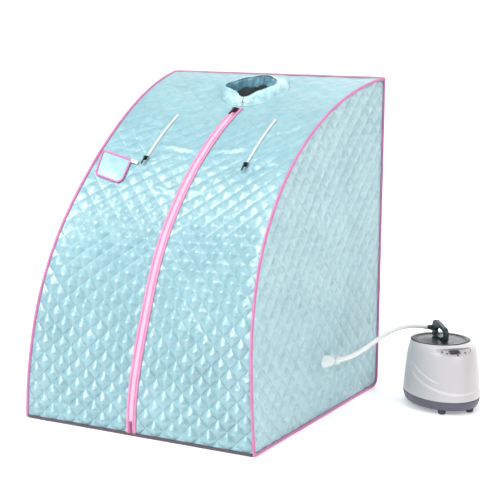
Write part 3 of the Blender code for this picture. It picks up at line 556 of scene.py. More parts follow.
def settle_cloth(obj, weights, pressure, cap, slack=0.035):
    """Cloth under the padding's pressure, held along its stitches; a point moves at most cap."""
    group = obj.vertex_groups.new(name="stitches")
    for index, weight in enumerate(weights):
        if weight > 0:
            group.add([index], weight, "REPLACE")
    start = [v.co.copy() for v in obj.data.vertices]
    modifier = obj.modifiers.new("cloth", "CLOTH")
    satin_cloth = {
        "quality": 4, "mass": 0.25, "tension_stiffness": 18, "compression_stiffness": 18,
        "shear_stiffness": 6, "bending_stiffness": 0.12, "air_damping": 2.0, "shrink_min": -slack,
        "vertex_group_mass": "stitches", "pin_stiffness": 4.0, "use_pressure": True,
        "uniform_pressure_force": pressure}
    for name, value in satin_cloth.items():
        setattr(modifier.settings, name, value)
    modifier.settings.effector_weights.gravity = 0
    modifier.collision_settings.use_collision = False
    modifier.point_cache.frame_start = 1
    modifier.point_cache.frame_end = CLOTH_FRAMES
    scene = bpy.context.scene
    for number in range(1, CLOTH_FRAMES + 1):
        scene.frame_set(number)
    apply_modifiers(obj)
    scene.frame_set(1)
    for vert, origin in zip(obj.data.vertices, start):
        move = vert.co - origin
        if move.length > cap:
            vert.co = origin + move * (cap / move.length)
    obj.vertex_groups.clear()


def thicken(obj, depth, levels=1):
    """Smooths the cloth and gives it its inner layer."""
    if levels:
        smooth = obj.modifiers.new("smooth", "SUBSURF")
        smooth.levels = smooth.render_levels = levels
    solid = obj.modifiers.new("layers", "SOLIDIFY")
    solid.thickness = depth
    solid.offset = -1
    solid.use_even_offset = False
    solid.material_offset = len(obj.material_slots) - 1
    apply_modifiers(obj)
    obj.data.shade_smooth()


def skin_puff(x, s):
    """Padding height of the front and top skin: full below, fading to smooth satin near the top."""
    edge = seam_x(s) - abs(x)
    border = smooth_step(edge, 0.008, 0.026) * smooth_step(abs(x - zip_x(s)), 0.013, 0.026)
    hem = smooth_step(s, 0.008, 0.020)
    fade = 1 - 0.93 * smooth_step(s, 0.60, 0.84)
    wide = 0.45 + 0.55 * smooth_step(edge, 0.012, 0.085)
    wide *= 1 - 0.6 * max(0.0, 1 - ((x - 0.27) / 0.10) ** 2) * max(0.0, 1 - ((s - 0.22) / 0.13) ** 2)
    share = border * hem * fade * wide
    return QUILT_PUFF * diamond(x - QUILT_SHIFT, s) * share * clear_of_trim(x, s)


def clear_of_trim(x, s):
    """0 under the arm zips and the pocket, 1 away from them."""
    zips = smooth_step(abs(abs(x) - ARM_ZIP_X), 0.007, 0.026) if 0.74 < s < 1.03 else 1.0
    pocket = smooth_step(max(abs(x + 0.238) - 0.050, abs(s - 0.750) - 0.055), 0.0, 0.02)
    return zips * pocket


def skin_drape(x, s):
    """Slack folds of the unquilted upper skin, and soft waves lower down."""
    upper = smooth_step(s, 0.62, 0.80) * (1 - smooth_step(s, 1.22, 1.33))
    edge = smooth_step(seam_x(s) - abs(x), 0.004, 0.07) * smooth_step(abs(x - zip_x(s)), 0.008, 0.05)
    soft = rumple(x * 0.8, s * 1.7, 0.0, 7.0, 3.1) * 0.0045 * upper
    creases = 0.0
    for centre_x, centre_s, length, depth, lean in (
            (-0.075, 0.862, 0.080, 0.0042, -0.10), (0.095, 0.868, 0.085, 0.0038, 0.06),
            (-0.060, 0.700, 0.060, 0.0052, -0.20), (0.075, 0.712, 0.070, 0.0034, 0.22),
            (-0.20, 0.93, 0.085, 0.0030, -0.2), (0.21, 0.95, 0.09, 0.0032, 0.25),
            (-0.10, 1.03, 0.07, 0.0028, -0.35), (0.12, 1.04, 0.08, 0.0028, 0.3)):
        along = (x - centre_x) / length
        across = (s - centre_s - lean * (x - centre_x)) / 0.0085
        if abs(along) < 1 and abs(across) < 4:
            creases += depth * (1 - along * along) ** 2 * (math.exp(-across * across)
                                                          - 0.45 * math.exp(-(across + 1.7) ** 2))
    waves = rumple(x, s, 0.0, 3.2, 9.4) * 0.0035 * (1 - upper)
    return (soft + creases + waves) * edge * clear_of_trim(x, s)


def tent_skin(mats):
    """Front and top in one quilted piece, split along the front zip and cut for the neck."""
    rows = int(OUTLINE_LENGTH / GRID)
    half = int(WIDTH / 2 / GRID)
    s_values = spread(HEM_START, OUTLINE_LENGTH - 0.006, rows)
    bm = bmesh.new()
    grid = []
    weights = []
    places = {}
    for s in s_values:
        edge = seam_x(s) - SEAM_ALLOWANCE
        middle = zip_x(s)
        split = 0.0012 if s < ZIP_END else 0.0
        row = []
        for side in (-1, 1):
            xs = spread(side * edge, middle + side * split, half)
            if side > 0:
                xs = xs[::-1]
            if side > 0 and not split:
                xs = xs[1:]
            for x in xs:
                height = skin_puff(x, s) * 0.75 + skin_drape(x, s)
                row.append(bm.verts.new(skin_point(x, s, height - 0.0005)))
                places[row[-1]] = (x - QUILT_SHIFT, s)
                on_line = diamond(x - QUILT_SHIFT, s) < FRONT_STITCH and s < 0.80
                border = edge - abs(x) < 0.012 or abs(x - middle) < 0.015 or s < 0.012
                border = border or s > OUTLINE_LENGTH - 0.02 or clear_of_trim(x, s) < 0.3
                border = border or math.hypot(x, row[-1].co.y - NECK_CENTRE[1]) < NECK_SEAM_RADIUS
                weights.append(1.0 if border else 0.97 if on_line else 0.55 if s > 0.8 else 0.0)
        grid.append(row)
    for low, high in zip(grid, grid[1:]):
        if len(low) == len(high):
            columns = range(len(low) - 1)
            pairs = [(j, j + 1) for j in columns if len(low) < 2 * half + 2 or j != half]
            for a, b in pairs:
                bm.faces.new((low[a], low[b], high[b], high[a]))
        else:
            for j in range(half):
                bm.faces.new((low[j], low[j + 1], high[j + 1], high[j]))
                bm.faces.new((low[half + 1 + j], low[half + 2 + j], high[half + 1 + j], high[half + j]))
    neck = Vector(NECK_CENTRE)
    hole = [f for f in bm.faces if (f.calc_center_median().to_2d() - neck).length < NECK_RADIUS]
    bmesh.ops.delete(bm, geom=hole, context="FACES_ONLY")
    for vert in bm.verts:
        flat = vert.co.to_2d() - neck
        if vert.is_boundary and flat.length < NECK_RADIUS * 1.12 and vert.link_faces:
            vert.co.x, vert.co.y = neck + flat * (NECK_RADIUS / flat.length)
    bm.verts.index_update()
    loose = [v for v in bm.verts if not v.link_faces]
    keep = [weights[v.index] for v in bm.verts if v.link_faces]
    bmesh.ops.delete(bm, geom=loose, context="VERTS")
    face_out(bm, Vector((0, -1, 0)))
    obj = link_sheet("tent_skin", bm, [mats["satin"], mats["lining"]], lambda vert: places[vert])
    settle_cloth(obj, keep, 6.5, 0.0085)
    thicken(obj, 0.0026)
    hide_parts("front_left_panel", "front_right_panel", "top_panel")


def link_sheet(name, bm, materials, flat):
    """Links a sheet whose flat cloth coordinates come from each point."""
    layer = bm.loops.layers.uv.new("cloth")
    for face in bm.faces:
        for loop in face.loops:
            loop[layer].uv = flat(loop.vert)
    return link_mesh(name, bm, materials)


def side_edge():
    """Closed outline of a side panel as (y, z)."""
    points = []
    for s in spread(0.012, OUTLINE_LENGTH - 0.008, 150):
        (y, z), normal = outline(s)
        points.append((y - normal[0] * 0.0045, z - normal[1] * 0.0045))
    back = DEPTH / 2 - 0.0045
    points += [(back, z) for z in spread(points[-1][1], 0.030, 60)[1:]]
    for angle in (-22.5, -45, -67.5, -90):
        points.append((back - 0.020 + 0.020 * math.cos(math.radians(angle)),
                       0.0285 + 0.020 * math.sin(math.radians(angle))))
    points += [(y, 0.0085) for y in spread(points[-1][0], points[0][0], 60)[1:-1]]
    return points


def inside(points, y, z):
    hit = False
    for (y1, z1), (y2, z2) in zip(points, points[1:] + points[:1]):
        if (z1 > z) != (z2 > z) and y < y1 + (z - z1) / (z2 - z1) * (y2 - y1):
            hit = not hit
    return hit


def nearest_edge(points, y, z):
    return min(points, key=lambda p: (p[0] - y) ** 2 + (p[1] - z) ** 2)


def side_panel(name, side, mats, node):
    """Flat panel in the same quilt, softer and more crumpled, cut to the outline."""
    edge = side_edge()
    bm = bmesh.new()
    columns = int(DEPTH / GRID)
    rows = int(HEIGHT / GRID)
    verts = {}
    for i in range(columns + 1):
        for j in range(rows + 1):
            y = -DEPTH / 2 + DEPTH * i / columns
            z = HEIGHT * j / rows
            if inside(edge, y, z):
                verts[i, j] = bm.verts.new((0.0, y, z))
    for (i, j), vert in verts.items():
        corners = [(i, j), (i + 1, j), (i + 1, j + 1), (i, j + 1)]
        if all(c in verts for c in corners):
            bm.faces.new([verts[c] for c in corners])
    bmesh.ops.delete(bm, geom=[v for v in bm.verts if not v.link_faces], context="VERTS")
    weights = []
    for vert in bm.verts:
        y, z = vert.co.y, vert.co.z
        ey, ez = nearest_edge(edge, y, z)
        margin = math.hypot(ey - y, ez - z)
        if vert.is_boundary:
            y, z = ey, ez
            margin = 0.0
        quilt = diamond(y + SIDE_QUILT_SHIFT, z)
        puff = 0.0036 * quilt * smooth_step(margin, 0.006, 0.024)
        puff += rumple(y, z * 0.8, 0.0, 16.0, 5.5 + side) * 0.0016 * smooth_step(margin, 0.0, 0.03)
        puff += rumple(y, z * 0.6, 0.0, 3.0, 1.7 + side) * 0.0042 * smooth_step(margin, 0.01, 0.12)
        vert.co = (side * (side_x(y, z) + puff - 0.001), y, z)
        weights.append(1.0 if margin < 0.006 else 0.9 if quilt < STITCH else 0.0)
    face_out(bm, Vector((side, 0, 0)))
    obj = link_sheet(name, bm, [mats["side"], mats["lining"]],
                     lambda vert: (vert.co.y + SIDE_QUILT_SHIFT, vert.co.z))
    settle_cloth(obj, weights, 3.5, 0.0055, slack=0.045)
    thicken(obj, 0.0024)
    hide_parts(node)


def back_panel(mats):
    half = WIDTH / 2 - SEAM_ALLOWANCE
    columns = int(2 * half / BACK_GRID)
    profile = [(DEPTH / 2, z, 1.0, 0.0) for z in spread(HEIGHT - 0.006, CORNER_RADIUS, 104)]
    for step in range(1, 6):
        angle = math.radians(-18 * step)
        profile.append((DEPTH / 2 - CORNER_RADIUS + CORNER_RADIUS * math.cos(angle),
                        CORNER_RADIUS + CORNER_RADIUS * math.sin(angle), math.cos(angle), math.sin(angle)))
    bm = bmesh.new()
    grid = []
    weights = []
    for y, z, ny, nz in profile:
        row = []
        for x in spread(-half, half, columns):
            margin = min(half - abs(x), HEIGHT - 0.006 - z, max(0.0, z - 0.025))
            quilt = diamond(x, z)
            puff = 0.0045 * quilt + rumple(x, z, 0.0, 3.0, 6.6) * 0.002
            puff *= smooth_step(margin, 0.004, 0.022)
            puff -= 0.003 * smooth_step(margin, 0.0, 0.02)
            row.append(bm.verts.new((x, y + ny * puff, z + nz * puff)))
            weights.append(1.0 if margin < 0.008 else 0.95 if quilt < STITCH else 0.0)
        grid.append(row)
    add_grid(bm, grid)
    face_out(bm, Vector((0, 1, 0)))
    obj = link_sheet("quilted_back", bm, [mats["side"], mats["lining"]], lambda vert: (vert.co.x, vert.co.z))
    settle_cloth(obj, weights, 4.0, 0.004)
    thicken(obj, 0.0024)
    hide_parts("back_panel")


def floor_sheet(mats):
    half = WIDTH / 2 - 0.006
    bm = bmesh.new()
    add_grid(bm, [[bm.verts.new((x, y, 0.0022 + 0.0008 * rumple(x, y, 0.0, 9.0, 2.2)))
                   for x in spread(-half, half, 56)]
                  for y in spread(-DEPTH / 2 + 0.006, DEPTH / 2 - CORNER_RADIUS, 60)])
    bmesh.ops.recalc_face_normals(bm, faces=bm.faces)
    obj = link_mesh("floor_sheet", bm, [mats["lining"]])
    thicken(obj, 0.0016, 0)
    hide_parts("floor_panel")


# ---------------------------------------------------------------- piping

def seam_path(side):
    points = []
    for s in spread(PIPING_HEIGHT, OUTLINE_LENGTH - 0.004, 120):
        (y, z), _ = outline(s)
        points.append(Vector((side * seam_x(s), y, z)))
    back = DEPTH / 2
    edge = side * WIDTH / 2
    points.append(Vector((edge, back, HEIGHT)))
    points += [Vector((edge, back, z)) for z in spread(HEIGHT, CORNER_RADIUS + PIPING_HEIGHT, 40)[1:]]
    for step in range(1, 7):
        angle = math.radians(-15 * step)
        points.append(Vector((edge, back - CORNER_RADIUS + CORNER_RADIUS * math.cos(angle),
                              CORNER_RADIUS + PIPING_HEIGHT + CORNER_RADIUS * math.sin(angle))))
    points += [Vector((edge, y, PIPING_HEIGHT)) for y in spread(points[-1].y, -DEPTH / 2 + 0.0003, 40)[1:-1]]
    return points


def make_piping(mats):
    for name, side in (("left", -1), ("right", 1)):
        points = [p + Vector((side * 0.0006 * rumple(p.x, p.y, p.z, 12.0, 4.0), 0, 0))
                  for p in seam_path(side)]
        obj = tube(name + "_edge_piping", points, PIPING_RADIUS, mats["piping"], count=10, closed=True)
        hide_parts(name + "_seam_piping")
    half = WIDTH / 2 - 0.005
    # The front hem's piping takes the dark hem binding: painted shade of the tucked-under pink piping.
    for name, node, look, y, z in (("hem_piping", "front_hem_piping", "hem", -DEPTH / 2, PIPING_HEIGHT),
                                   ("top_piping", "back_top_piping", "top_edge", DEPTH / 2, HEIGHT)):
        points = [Vector((x, y, z + 0.0005 * rumple(x, y, z, 14.0, 8.0))) for x in spread(-half, half, 80)]
        obj = tube(name, points, PIPING_RADIUS, mats[look], count=10)
        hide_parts(node)


# ---------------------------------------------------------------- zips

def zip_strip(name, x0, x1, s_values, lift, depth, material, serration=0.0):
    """A tape on the skin between two offsets from the zip's line; its outer edge may be serrated."""
    rows = []
    for index, s in enumerate(s_values):
        outer = x1 + math.copysign(serration, x1) * (1 if index % 2 else -1)
        rows.append([skin_point(x + zip_x(s), s, height) for x, height in (
            (x0, lift), (x0, lift + depth), ((x0 + outer) / 2, lift + depth * 1.2),
            (outer, lift + depth * 0.8), (outer, lift))])
    obj = loft(name, rows, material)
    return obj


def zip_coil(name, x_centre, s_low, s_high, pitch, width, height, lift, material):
    """Meshed coil teeth: short rounded bars across the zip, each half a pitch from the next."""
    bm = bmesh.new()
    for index in range(int((s_high - s_low) / pitch)):
        s = s_low + (index + 0.5) * pitch
        centre = x_centre + (1 if index % 2 else -1) * width * 0.10 + zip_x(s)
        rings = []
        for share, ease in ((-1.0, 0.45), (-0.82, 1.0), (0.0, 1.0), (0.82, 1.0), (1.0, 0.45)):
            rings.append([skin_point(centre + share * width / 2, s + math.cos(angle) * pitch * 0.46 * ease,
                                     lift + (0.5 + 0.5 * math.sin(angle) * ease) * height)
                          for angle in turns(6)])
        add_loft(bm, rings)
    bmesh.ops.recalc_face_normals(bm, faces=bm.faces)
    obj = link_mesh(name, bm, [material])
    return obj


def make_zips(mats):
    s_values = spread(HEM_START, ZIP_END, 400)
    for name, side in (("left", -1), ("right", 1)):
        tape = zip_strip("front_zip_tape_" + name, side * 0.0045, side * (ZIP_HALF_WIDTH - 0.0010),
                         s_values, 0.0006, 0.0018, mats["tape"], 0.0010)
        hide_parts("front_zip_" + name + "_tape")
        zip_strip("front_zip_fold_" + name, side * 0.0072, side * 0.0094, s_values[::4], 0.0020, 0.0012,
                  mats["piping"])
    zip_coil("front_zip_coil", 0.0, 0.040, ZIP_END, 0.0034, 0.0118, 0.0018, 0.0010, mats["coil"])
    zip_strip("front_zip_bed", -0.0055, 0.0055, spread(HEM_START, ZIP_END, 120), 0.0002, 0.0014, mats["coil"])
    # Below the coil, a dark magenta strip covers the zip's foot: painted shade of the gap between the tapes.
    zip_strip("front_zip_end_painted_shade", -0.0035, 0.0035, spread(HEM_START, 0.040, 12), 0.0020, 0.0010,
              mats["zip_gap_shade"])
    low, high = ARM_ZIP_SPAN
    for name, side in (("left", -1), ("right", 1)):
        x = side * ARM_ZIP_X
        rows = spread(low, high, 70)
        inner = zip_strip(name + "_arm_zip_tape", x - 0.0036, x + 0.0036, rows, 0.0008, 0.0014,
                          mats["white_tape"], 0.0)
        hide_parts(name + "_arm_zip")
        zip_coil(name + "_arm_zip_coil", x, low + 0.004, high - 0.004, 0.0026, 0.0038, 0.0009, 0.0021,
                 mats["white_coil"])


# ---------------------------------------------------------------- pocket

def pocket_point(u, v, lift):
    top_left, top_right, low_right, low_left = [Vector(c) for c in POCKET_CORNERS]
    across = min(u, 1 - 0.14 * max(0.0, (v - 0.80) / 0.20) ** 2)
    point = top_left.lerp(top_right, across).lerp(low_left.lerp(low_right, across), v)
    return skin_point(point.x, point.y, lift)


def make_pocket(mats):
    bm = bmesh.new()
    count = 22
    grid = []
    for j in range(count + 1):
        row = []
        for i in range(count + 1):
            u, v = i / count, j / count
            edge = min(u, 1 - u, v, 1 - v)
            puff = 0.0024 + 0.0026 * smooth_step(edge, 0.02, 0.35)
            puff += 0.0012 * rumple(u, v, 0, 4.0, 7.7) * edge
            row.append(bm.verts.new(pocket_point(u, v, puff)))
        grid.append(row)
    add_grid(bm, grid)
    face_out(bm, Vector((0, -1, 0)))
    obj = link_mesh("patch_pocket", bm, [mats["plain"]])
    thicken(obj, 0.0014, 0)
    border = [(u, 0.0) for u in spread(0, 1, 18)] + [(1.0, v) for v in spread(0, 1, 24)[1:]]
    border += [(u, 1.0) for u in spread(1, 0, 18)[1:]] + [(0.0, v) for v in spread(1, 0, 18)[1:-1]]
    path = [pocket_point(u, v, 0.0032) for u, v in border]
    for _ in range(3):
        path = [(path[i - 1] + p * 2 + path[(i + 1) % len(path)]) / 4 for i, p in enumerate(path)]
    binding = tube("pocket_binding", path, 0.0030, mats["piping"], count=8, closed=True)
    rows = []
    for share in spread(0, 1, 8):
        x = -0.196 + 0.024 * share
        s = 0.783 - 0.004 * share
        rows.append([skin_point(x, s + dv, 0.0034 + lift) for dv, lift in
                     ((-0.006, 0.0), (0.006, 0.0), (0.006, 0.0008), (-0.006, 0.0008))])
    tag = loft("pocket_tag", rows, mats["white_tape"])
    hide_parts("pocket")


# ---------------------------------------------------------------- neck collar

def round_spot(corners, turn):
    """A point of the closed outline through the corners, rounded off, at a share of a full turn."""
    place = (turn % 1.0) * len(corners)
    index = int(place)
    t = place - index
    before, start, end, after = [Vector(corners[(index + k) % len(corners)]) for k in (-1, 0, 1, 2)]
    pull = 0.30
    first = start + (end - before) * pull / 2
    second = end - (after - start) * pull / 2
    return ((1 - t) ** 3 * start + 3 * (1 - t) ** 2 * t * first + 3 * (1 - t) * t * t * second + t ** 3 * end)


def collar_ring(angle, share, inner):
    """A point of the collar: from its sewn base to the boxy rim, with gathers and a pinched front."""
    turn = angle / (2 * math.pi) + 0.25
    base = round_spot(COLLAR_FOOT, turn)
    rim = round_spot(COLLAR_TOP, turn)
    spot = base.lerp(rim.to_2d(), share ** 0.85)
    away = (spot - COLLAR_MIDDLE).normalized()
    gather = math.sin(angle * 19 + 2.0 * math.sin(3 * angle)) * 0.0016
    gather += rumple(math.cos(angle) * 1.2, math.sin(angle) * 1.2, share * 0.6, 2.6, 11.0) * 0.0042
    gather *= (1 - 0.75 * share) if not inner else (0.5 + 1.4 * (1 - share))
    belly = 0.0060 * math.sin(math.pi * min(1.0, share)) * (1 if not inner else -0.5)
    spot += away * (gather + belly - (0.0060 if inner else 0.0))
    height = rim.z + 0.0008 * math.sin(angle * 5 + 0.7) + 0.0007 * math.sin(angle * 11)
    foot = skin_height(spot.x, spot.y) - 0.001
    return Vector((spot.x, spot.y, foot + (height - foot) * share))


def make_neck_lining(mats):
    """Pleated lining that hangs from the rim into the neck opening."""
    count = 132
    loops = []
    for drop, draw in ((0.0035, 0.945), (0.010, 0.925), (0.018, 0.900), (0.026, 0.880), (0.033, 0.865)):
        loop = []
        for angle in turns(count):
            rim = round_spot(COLLAR_TOP, angle / (2 * math.pi) + 0.25)
            spot = COLLAR_MIDDLE + (rim.to_2d() - COLLAR_MIDDLE) * draw
            pleat = abs(math.sin(angle * 11 + 1.5 * math.sin(angle * 4))) ** 0.5 - 0.7
            pleat *= 0.0075 * min(1.0, drop / 0.010)
            spot += (spot - COLLAR_MIDDLE).normalized() * pleat
            loop.append(Vector((spot.x, spot.y, rim.z - drop * (1.0 + 0.10 * math.sin(angle * 7)))))
        loops.append(loop)
    lining = loft("neck_lining", loops, mats["inner"], caps=False)
    solid = lining.modifiers.new("layers", "SOLIDIFY")
    solid.thickness = 0.0014
    apply_modifiers(lining)
    lining.data.shade_smooth()


def make_collar(mats):
    count = 120
    shares = [(s, False) for s in (0.0, 0.12, 0.28, 0.45, 0.62, 0.80, 0.93, 1.0)]
    shares += [(1.0, None)] + [(s, True) for s in (0.97, 0.85, 0.65, 0.50, 0.30, 0.08)]
    loops = []
    for share, inner in shares:
        loop = []
        for angle in turns(count):
            if inner is None:
                outer_point = collar_ring(angle, 1.0, False)
                inner_point = collar_ring(angle, 0.97, True)
                loop.append((outer_point + inner_point) / 2 + Vector((0, 0, 0.0022)))
            else:
                loop.append(collar_ring(angle, share, inner))
        loops.append(loop)
    obj = loft("neck_collar_cloth", loops, [mats["collar"], mats["inner"], mats["shadow"]], ring=True)
    # Rows 9 to 11 take the inside satin. Rows 12 on take the shadow satin: painted shade of the deep inside
    # of the collar.
    for polygon in obj.data.polygons:
        row = polygon.index // count
        polygon.material_index = 2 if row >= 12 else 1 if row >= 9 else 0
    smooth = obj.modifiers.new("smooth", "SUBSURF")
    smooth.levels = smooth.render_levels = 1
    apply_modifiers(obj)
    cord_points = [collar_ring(angle, 0.03, False) + Vector((0, 0, 0.001)) for angle in turns(90)]
    seam = tube("neck_seam_cord", cord_points, 0.0016, mats["collar"], count=8, closed=True)
    # A thin tube in the shadow satin along the collar's front closure: painted shade of the slit.
    slit = [collar_ring(-math.pi / 2 + 0.02 * math.sin(share * 5), share, False) + Vector((0, -0.0006, 0))
            for share in spread(0.04, 1.0, 10)]
    closure = tube("neck_closure_shade_line", slit, 0.0010, mats["shadow"], count=8)
    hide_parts("neck_collar")
    make_neck_lining(mats)


# ---------------------------------------------------------------- port sleeve and hose

def hose_route():
    first = HOSE_START + HOSE_START_PULL
    second = HOSE_END - HOSE_END_PULL
    points = []
    for i in range(HOSE_POINTS + 1):
        t = i / HOSE_POINTS
        points.append((1 - t) ** 3 * HOSE_START + 3 * (1 - t) ** 2 * t * first
                      + 3 * (1 - t) * t * t * second + t ** 3 * HOSE_END)
    return points


def make_hose(mats):
    route = hose_route()
    fine = []
    for a, b in zip(route, route[1:]):
        fine += [a.lerp(b, k / 3) for k in range(3)]
    fine.append(route[-1])
    for _ in range(2):
        fine = [fine[0]] + [(p + q * 2 + r) / 4 for p, q, r in zip(fine, fine[1:], fine[2:])] + [fine[-1]]
    hose = tube("white_steam_hose", fine, HOSE_RADIUS, mats["hose"], body=None, count=20)
    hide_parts("steam_hose")
    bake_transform(hose)


def make_sleeve(mats):
    """Gathered cloth sleeve round the hose, tied with a ribbon bow."""
    direction = HOSE_START_PULL.normalized()
    reach = (HOSE_START.x - side_x(HOSE_START.y, HOSE_START.z) - 0.0005) / direction.x
    centre = HOSE_START - direction * reach
    neck = HOSE_START - direction * 0.012
    out = Vector((1, 0, 0))
    stations = (
        (centre, out, 0.0195, 0.0), (centre + out * 0.003, out, 0.0175, 0.3),
        (centre.lerp(neck, 0.30), direction, 0.0165, 0.7), (centre.lerp(neck, 0.6), direction, 0.0150, 1.0),
        (neck - direction * 0.004, direction, 0.0112, 0.8), (neck, direction, 0.0098, 0.3),
        (neck + direction * 0.004, direction, 0.0108, 0.8), (HOSE_START, direction, 0.0130, 1.2),
        (HOSE_START + direction * 0.001, direction, 0.0122, 1.0), (HOSE_START, direction, 0.0092, 0.4),
        (neck, direction, 0.0080, 0.1), (centre.lerp(neck, 0.5), direction, 0.0105, 0.5),
        (centre, out, 0.0150, 0.0))
    loops = []
    count = 48
    for index, (point, axis, radius, folds) in enumerate(stations):
        loop = ring_points(point, axis, radius, count)
        for i, spot in enumerate(loop):
            fold = math.sin(7 * 2 * math.pi * i / count + 0.6 * math.sin(i * 0.4)) * 0.0011 * folds
            loop[i] = spot + (spot - Vector(point)).normalized() * fold
            if index in (0, len(stations) - 1):
                loop[i].x = side_x(loop[i].y, loop[i].z) + 0.0006
        loops.append(loop)
    sleeve = loft("port_sleeve_cloth", loops, mats["sleeve"], ring=True)
    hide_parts("port_sleeve")
    ribbon = [spot + direction * 0.0012 * math.sin(3 * angle)
              for angle, spot in zip(turns(40), ring_points(neck, direction, 0.0118, 40))]
    tie = tube("port_ribbon", ribbon, 0.0017, mats["white_tape"], count=8, closed=True)
    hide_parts("port_tie")
    knot = neck + Vector((0.0, -0.004, 0.012))
    for name, offsets in (
            ("port_bow_left", ((0, 0, 0), (-0.003, -0.006, 0.008), (-0.006, -0.010, 0.004),
                               (-0.003, -0.006, -0.002), (0, 0, 0))),
            ("port_bow_right", ((0, 0, 0), (0.008, -0.002, 0.007), (0.014, -0.003, 0.002),
                                (0.007, -0.002, -0.002), (0, 0, 0))),
            ("port_ribbon_end", ((0, 0, 0), (0.001, -0.006, -0.006), (0.003, -0.008, -0.014),
                                 (0.002, -0.007, -0.021)))):
        points = [knot + Vector(offset) for offset in offsets]
        smooth = []
        for a, b in zip(points, points[1:]):
            smooth += [a.lerp(b, k / 5) for k in range(5)]
        smooth.append(points[-1])
        for _ in range(3):
            middle = [(p + q + r) / 3 for p, q, r in zip(smooth, smooth[1:], smooth[2:])]
            smooth = [smooth[0]] + middle + [smooth[-1]]
        loop = tube(name, smooth, 0.0016, mats["white_tape"], count=8)


# ---------------------------------------------------------------- steamer

SEAT = Matrix.Translation(STEAMER_CENTRE) @ Matrix.Rotation(STEAMER_TURN, 4, "Z")


def oval(profile, count):
    """Rows from (half width, half depth, height, shift along the local Y)."""
    return [[SEAT @ Vector((a * math.cos(angle), shift + b * math.sin(angle), z)) for angle in turns(count)]
            for a, b, z, shift in profile]


def smooth_profile(profile, steps):
    """Catmull-Rom through the profile's rows."""
    rows = []
    last = len(profile) - 1
    for i in range(last):
        before, start = profile[max(0, i - 1)], profile[i]
        end, after = profile[i + 1], profile[min(last, i + 2)]
        for k in range(steps):
            t = k / steps
            rows.append(tuple(0.5 * ((2 * b) + (c - a) * t + (2 * a - 5 * b + 4 * c - d) * t * t
                                     + (3 * b - a - 3 * c + d) * t ** 3)
                              for a, b, c, d in zip(before, start, end, after)))
    rows.append(profile[-1])
    return rows


HOUSING_OUTSIDE = (
    (0.1020, 0.1378, 0.0385, 0.0), (0.1022, 0.1372, 0.050, 0.0), (0.1000, 0.1310, 0.090, 0.0),
    (0.0970, 0.1225, 0.130, 0.0), (0.0940, 0.1130, 0.160, 0.0), (0.0905, 0.1045, 0.1735, 0.001),
    (0.0870, 0.0935, 0.1815, 0.010), (0.0855, 0.0860, 0.1850, 0.017))
HOUSING_INSIDE = (
    (0.0838, 0.0838, 0.1835, 0.017), (0.0838, 0.0838, 0.1745, 0.017), (0.0878, 0.0980, 0.1695, 0.004),
    (0.0908, 0.1095, 0.158, 0.0), (0.0940, 0.1195, 0.130, 0.0), (0.0970, 0.1280, 0.090, 0.0),
    (0.0992, 0.1342, 0.050, 0.0), (0.0990, 0.1348, 0.0385, 0.0))


def panel_matrix():
    out = Vector((0, -math.cos(PANEL_TILT), math.sin(PANEL_TILT)))
    across = Vector((1, 0, 0))
    matrix = Matrix((across, out.cross(across), out)).transposed().to_4x4()
    matrix.translation = PANEL_POINT
    return SEAT @ matrix


def crescent(margin, count=28):
    """The control panel's crescent, tips up."""
    points = []
    for upper in (True, False):
        bulge = 0.0075 if upper else 0.0350
        tip = 0.0150 + (0.0010 + margin * 2 if upper else -0.0010 - margin)
        for index in range(count + 1):
            angle = math.pi * (index if upper else count - index) / count
            points.append(((0.0500 + margin) * math.cos(angle), tip - bulge * math.sin(angle)))
    return points


def swoosh(mats, name, spots, width):
    """A soft raised ridge round the housing through (degrees round, height) spots; its lighter plastic is a
    painted highlight along the ridge.
    """
    outside = smooth_profile(HOUSING_OUTSIDE, 12)
    line = smooth_profile(spots, 10)
    rows = []
    for index, (degrees, height) in enumerate(line):
        taper = math.sin(math.pi * min(1.0, (index + 1) / (len(line) + 1))) ** 0.5
        row = []
        for share, lift in ((-1.0, -0.0010), (-0.5, 0.0009), (0.0, 0.0018), (0.5, 0.0006), (1.0, -0.0010)):
            z = min(0.172, max(0.040, height + share * width * 0.5 * taper))
            above = next(k for k in range(1, len(outside)) if outside[k][2] >= z or k == len(outside) - 1)
            low, high = outside[above - 1], outside[above]
            t = (z - low[2]) / (high[2] - low[2])
            a, b, shift = [low[k] + (high[k] - low[k]) * t for k in (0, 1, 3)]
            turn = math.radians(degrees)
            row.append(SEAT @ Vector(((a + lift) * math.cos(turn), shift + (b + lift) * math.sin(turn), z)))
        rows.append(row)
    obj = loft(name, rows, mats["ridge"], closed=False)
    solid = obj.modifiers.new("body", "SOLIDIFY")
    solid.thickness = 0.0008
    apply_modifiers(obj)
    obj.data.shade_smooth()


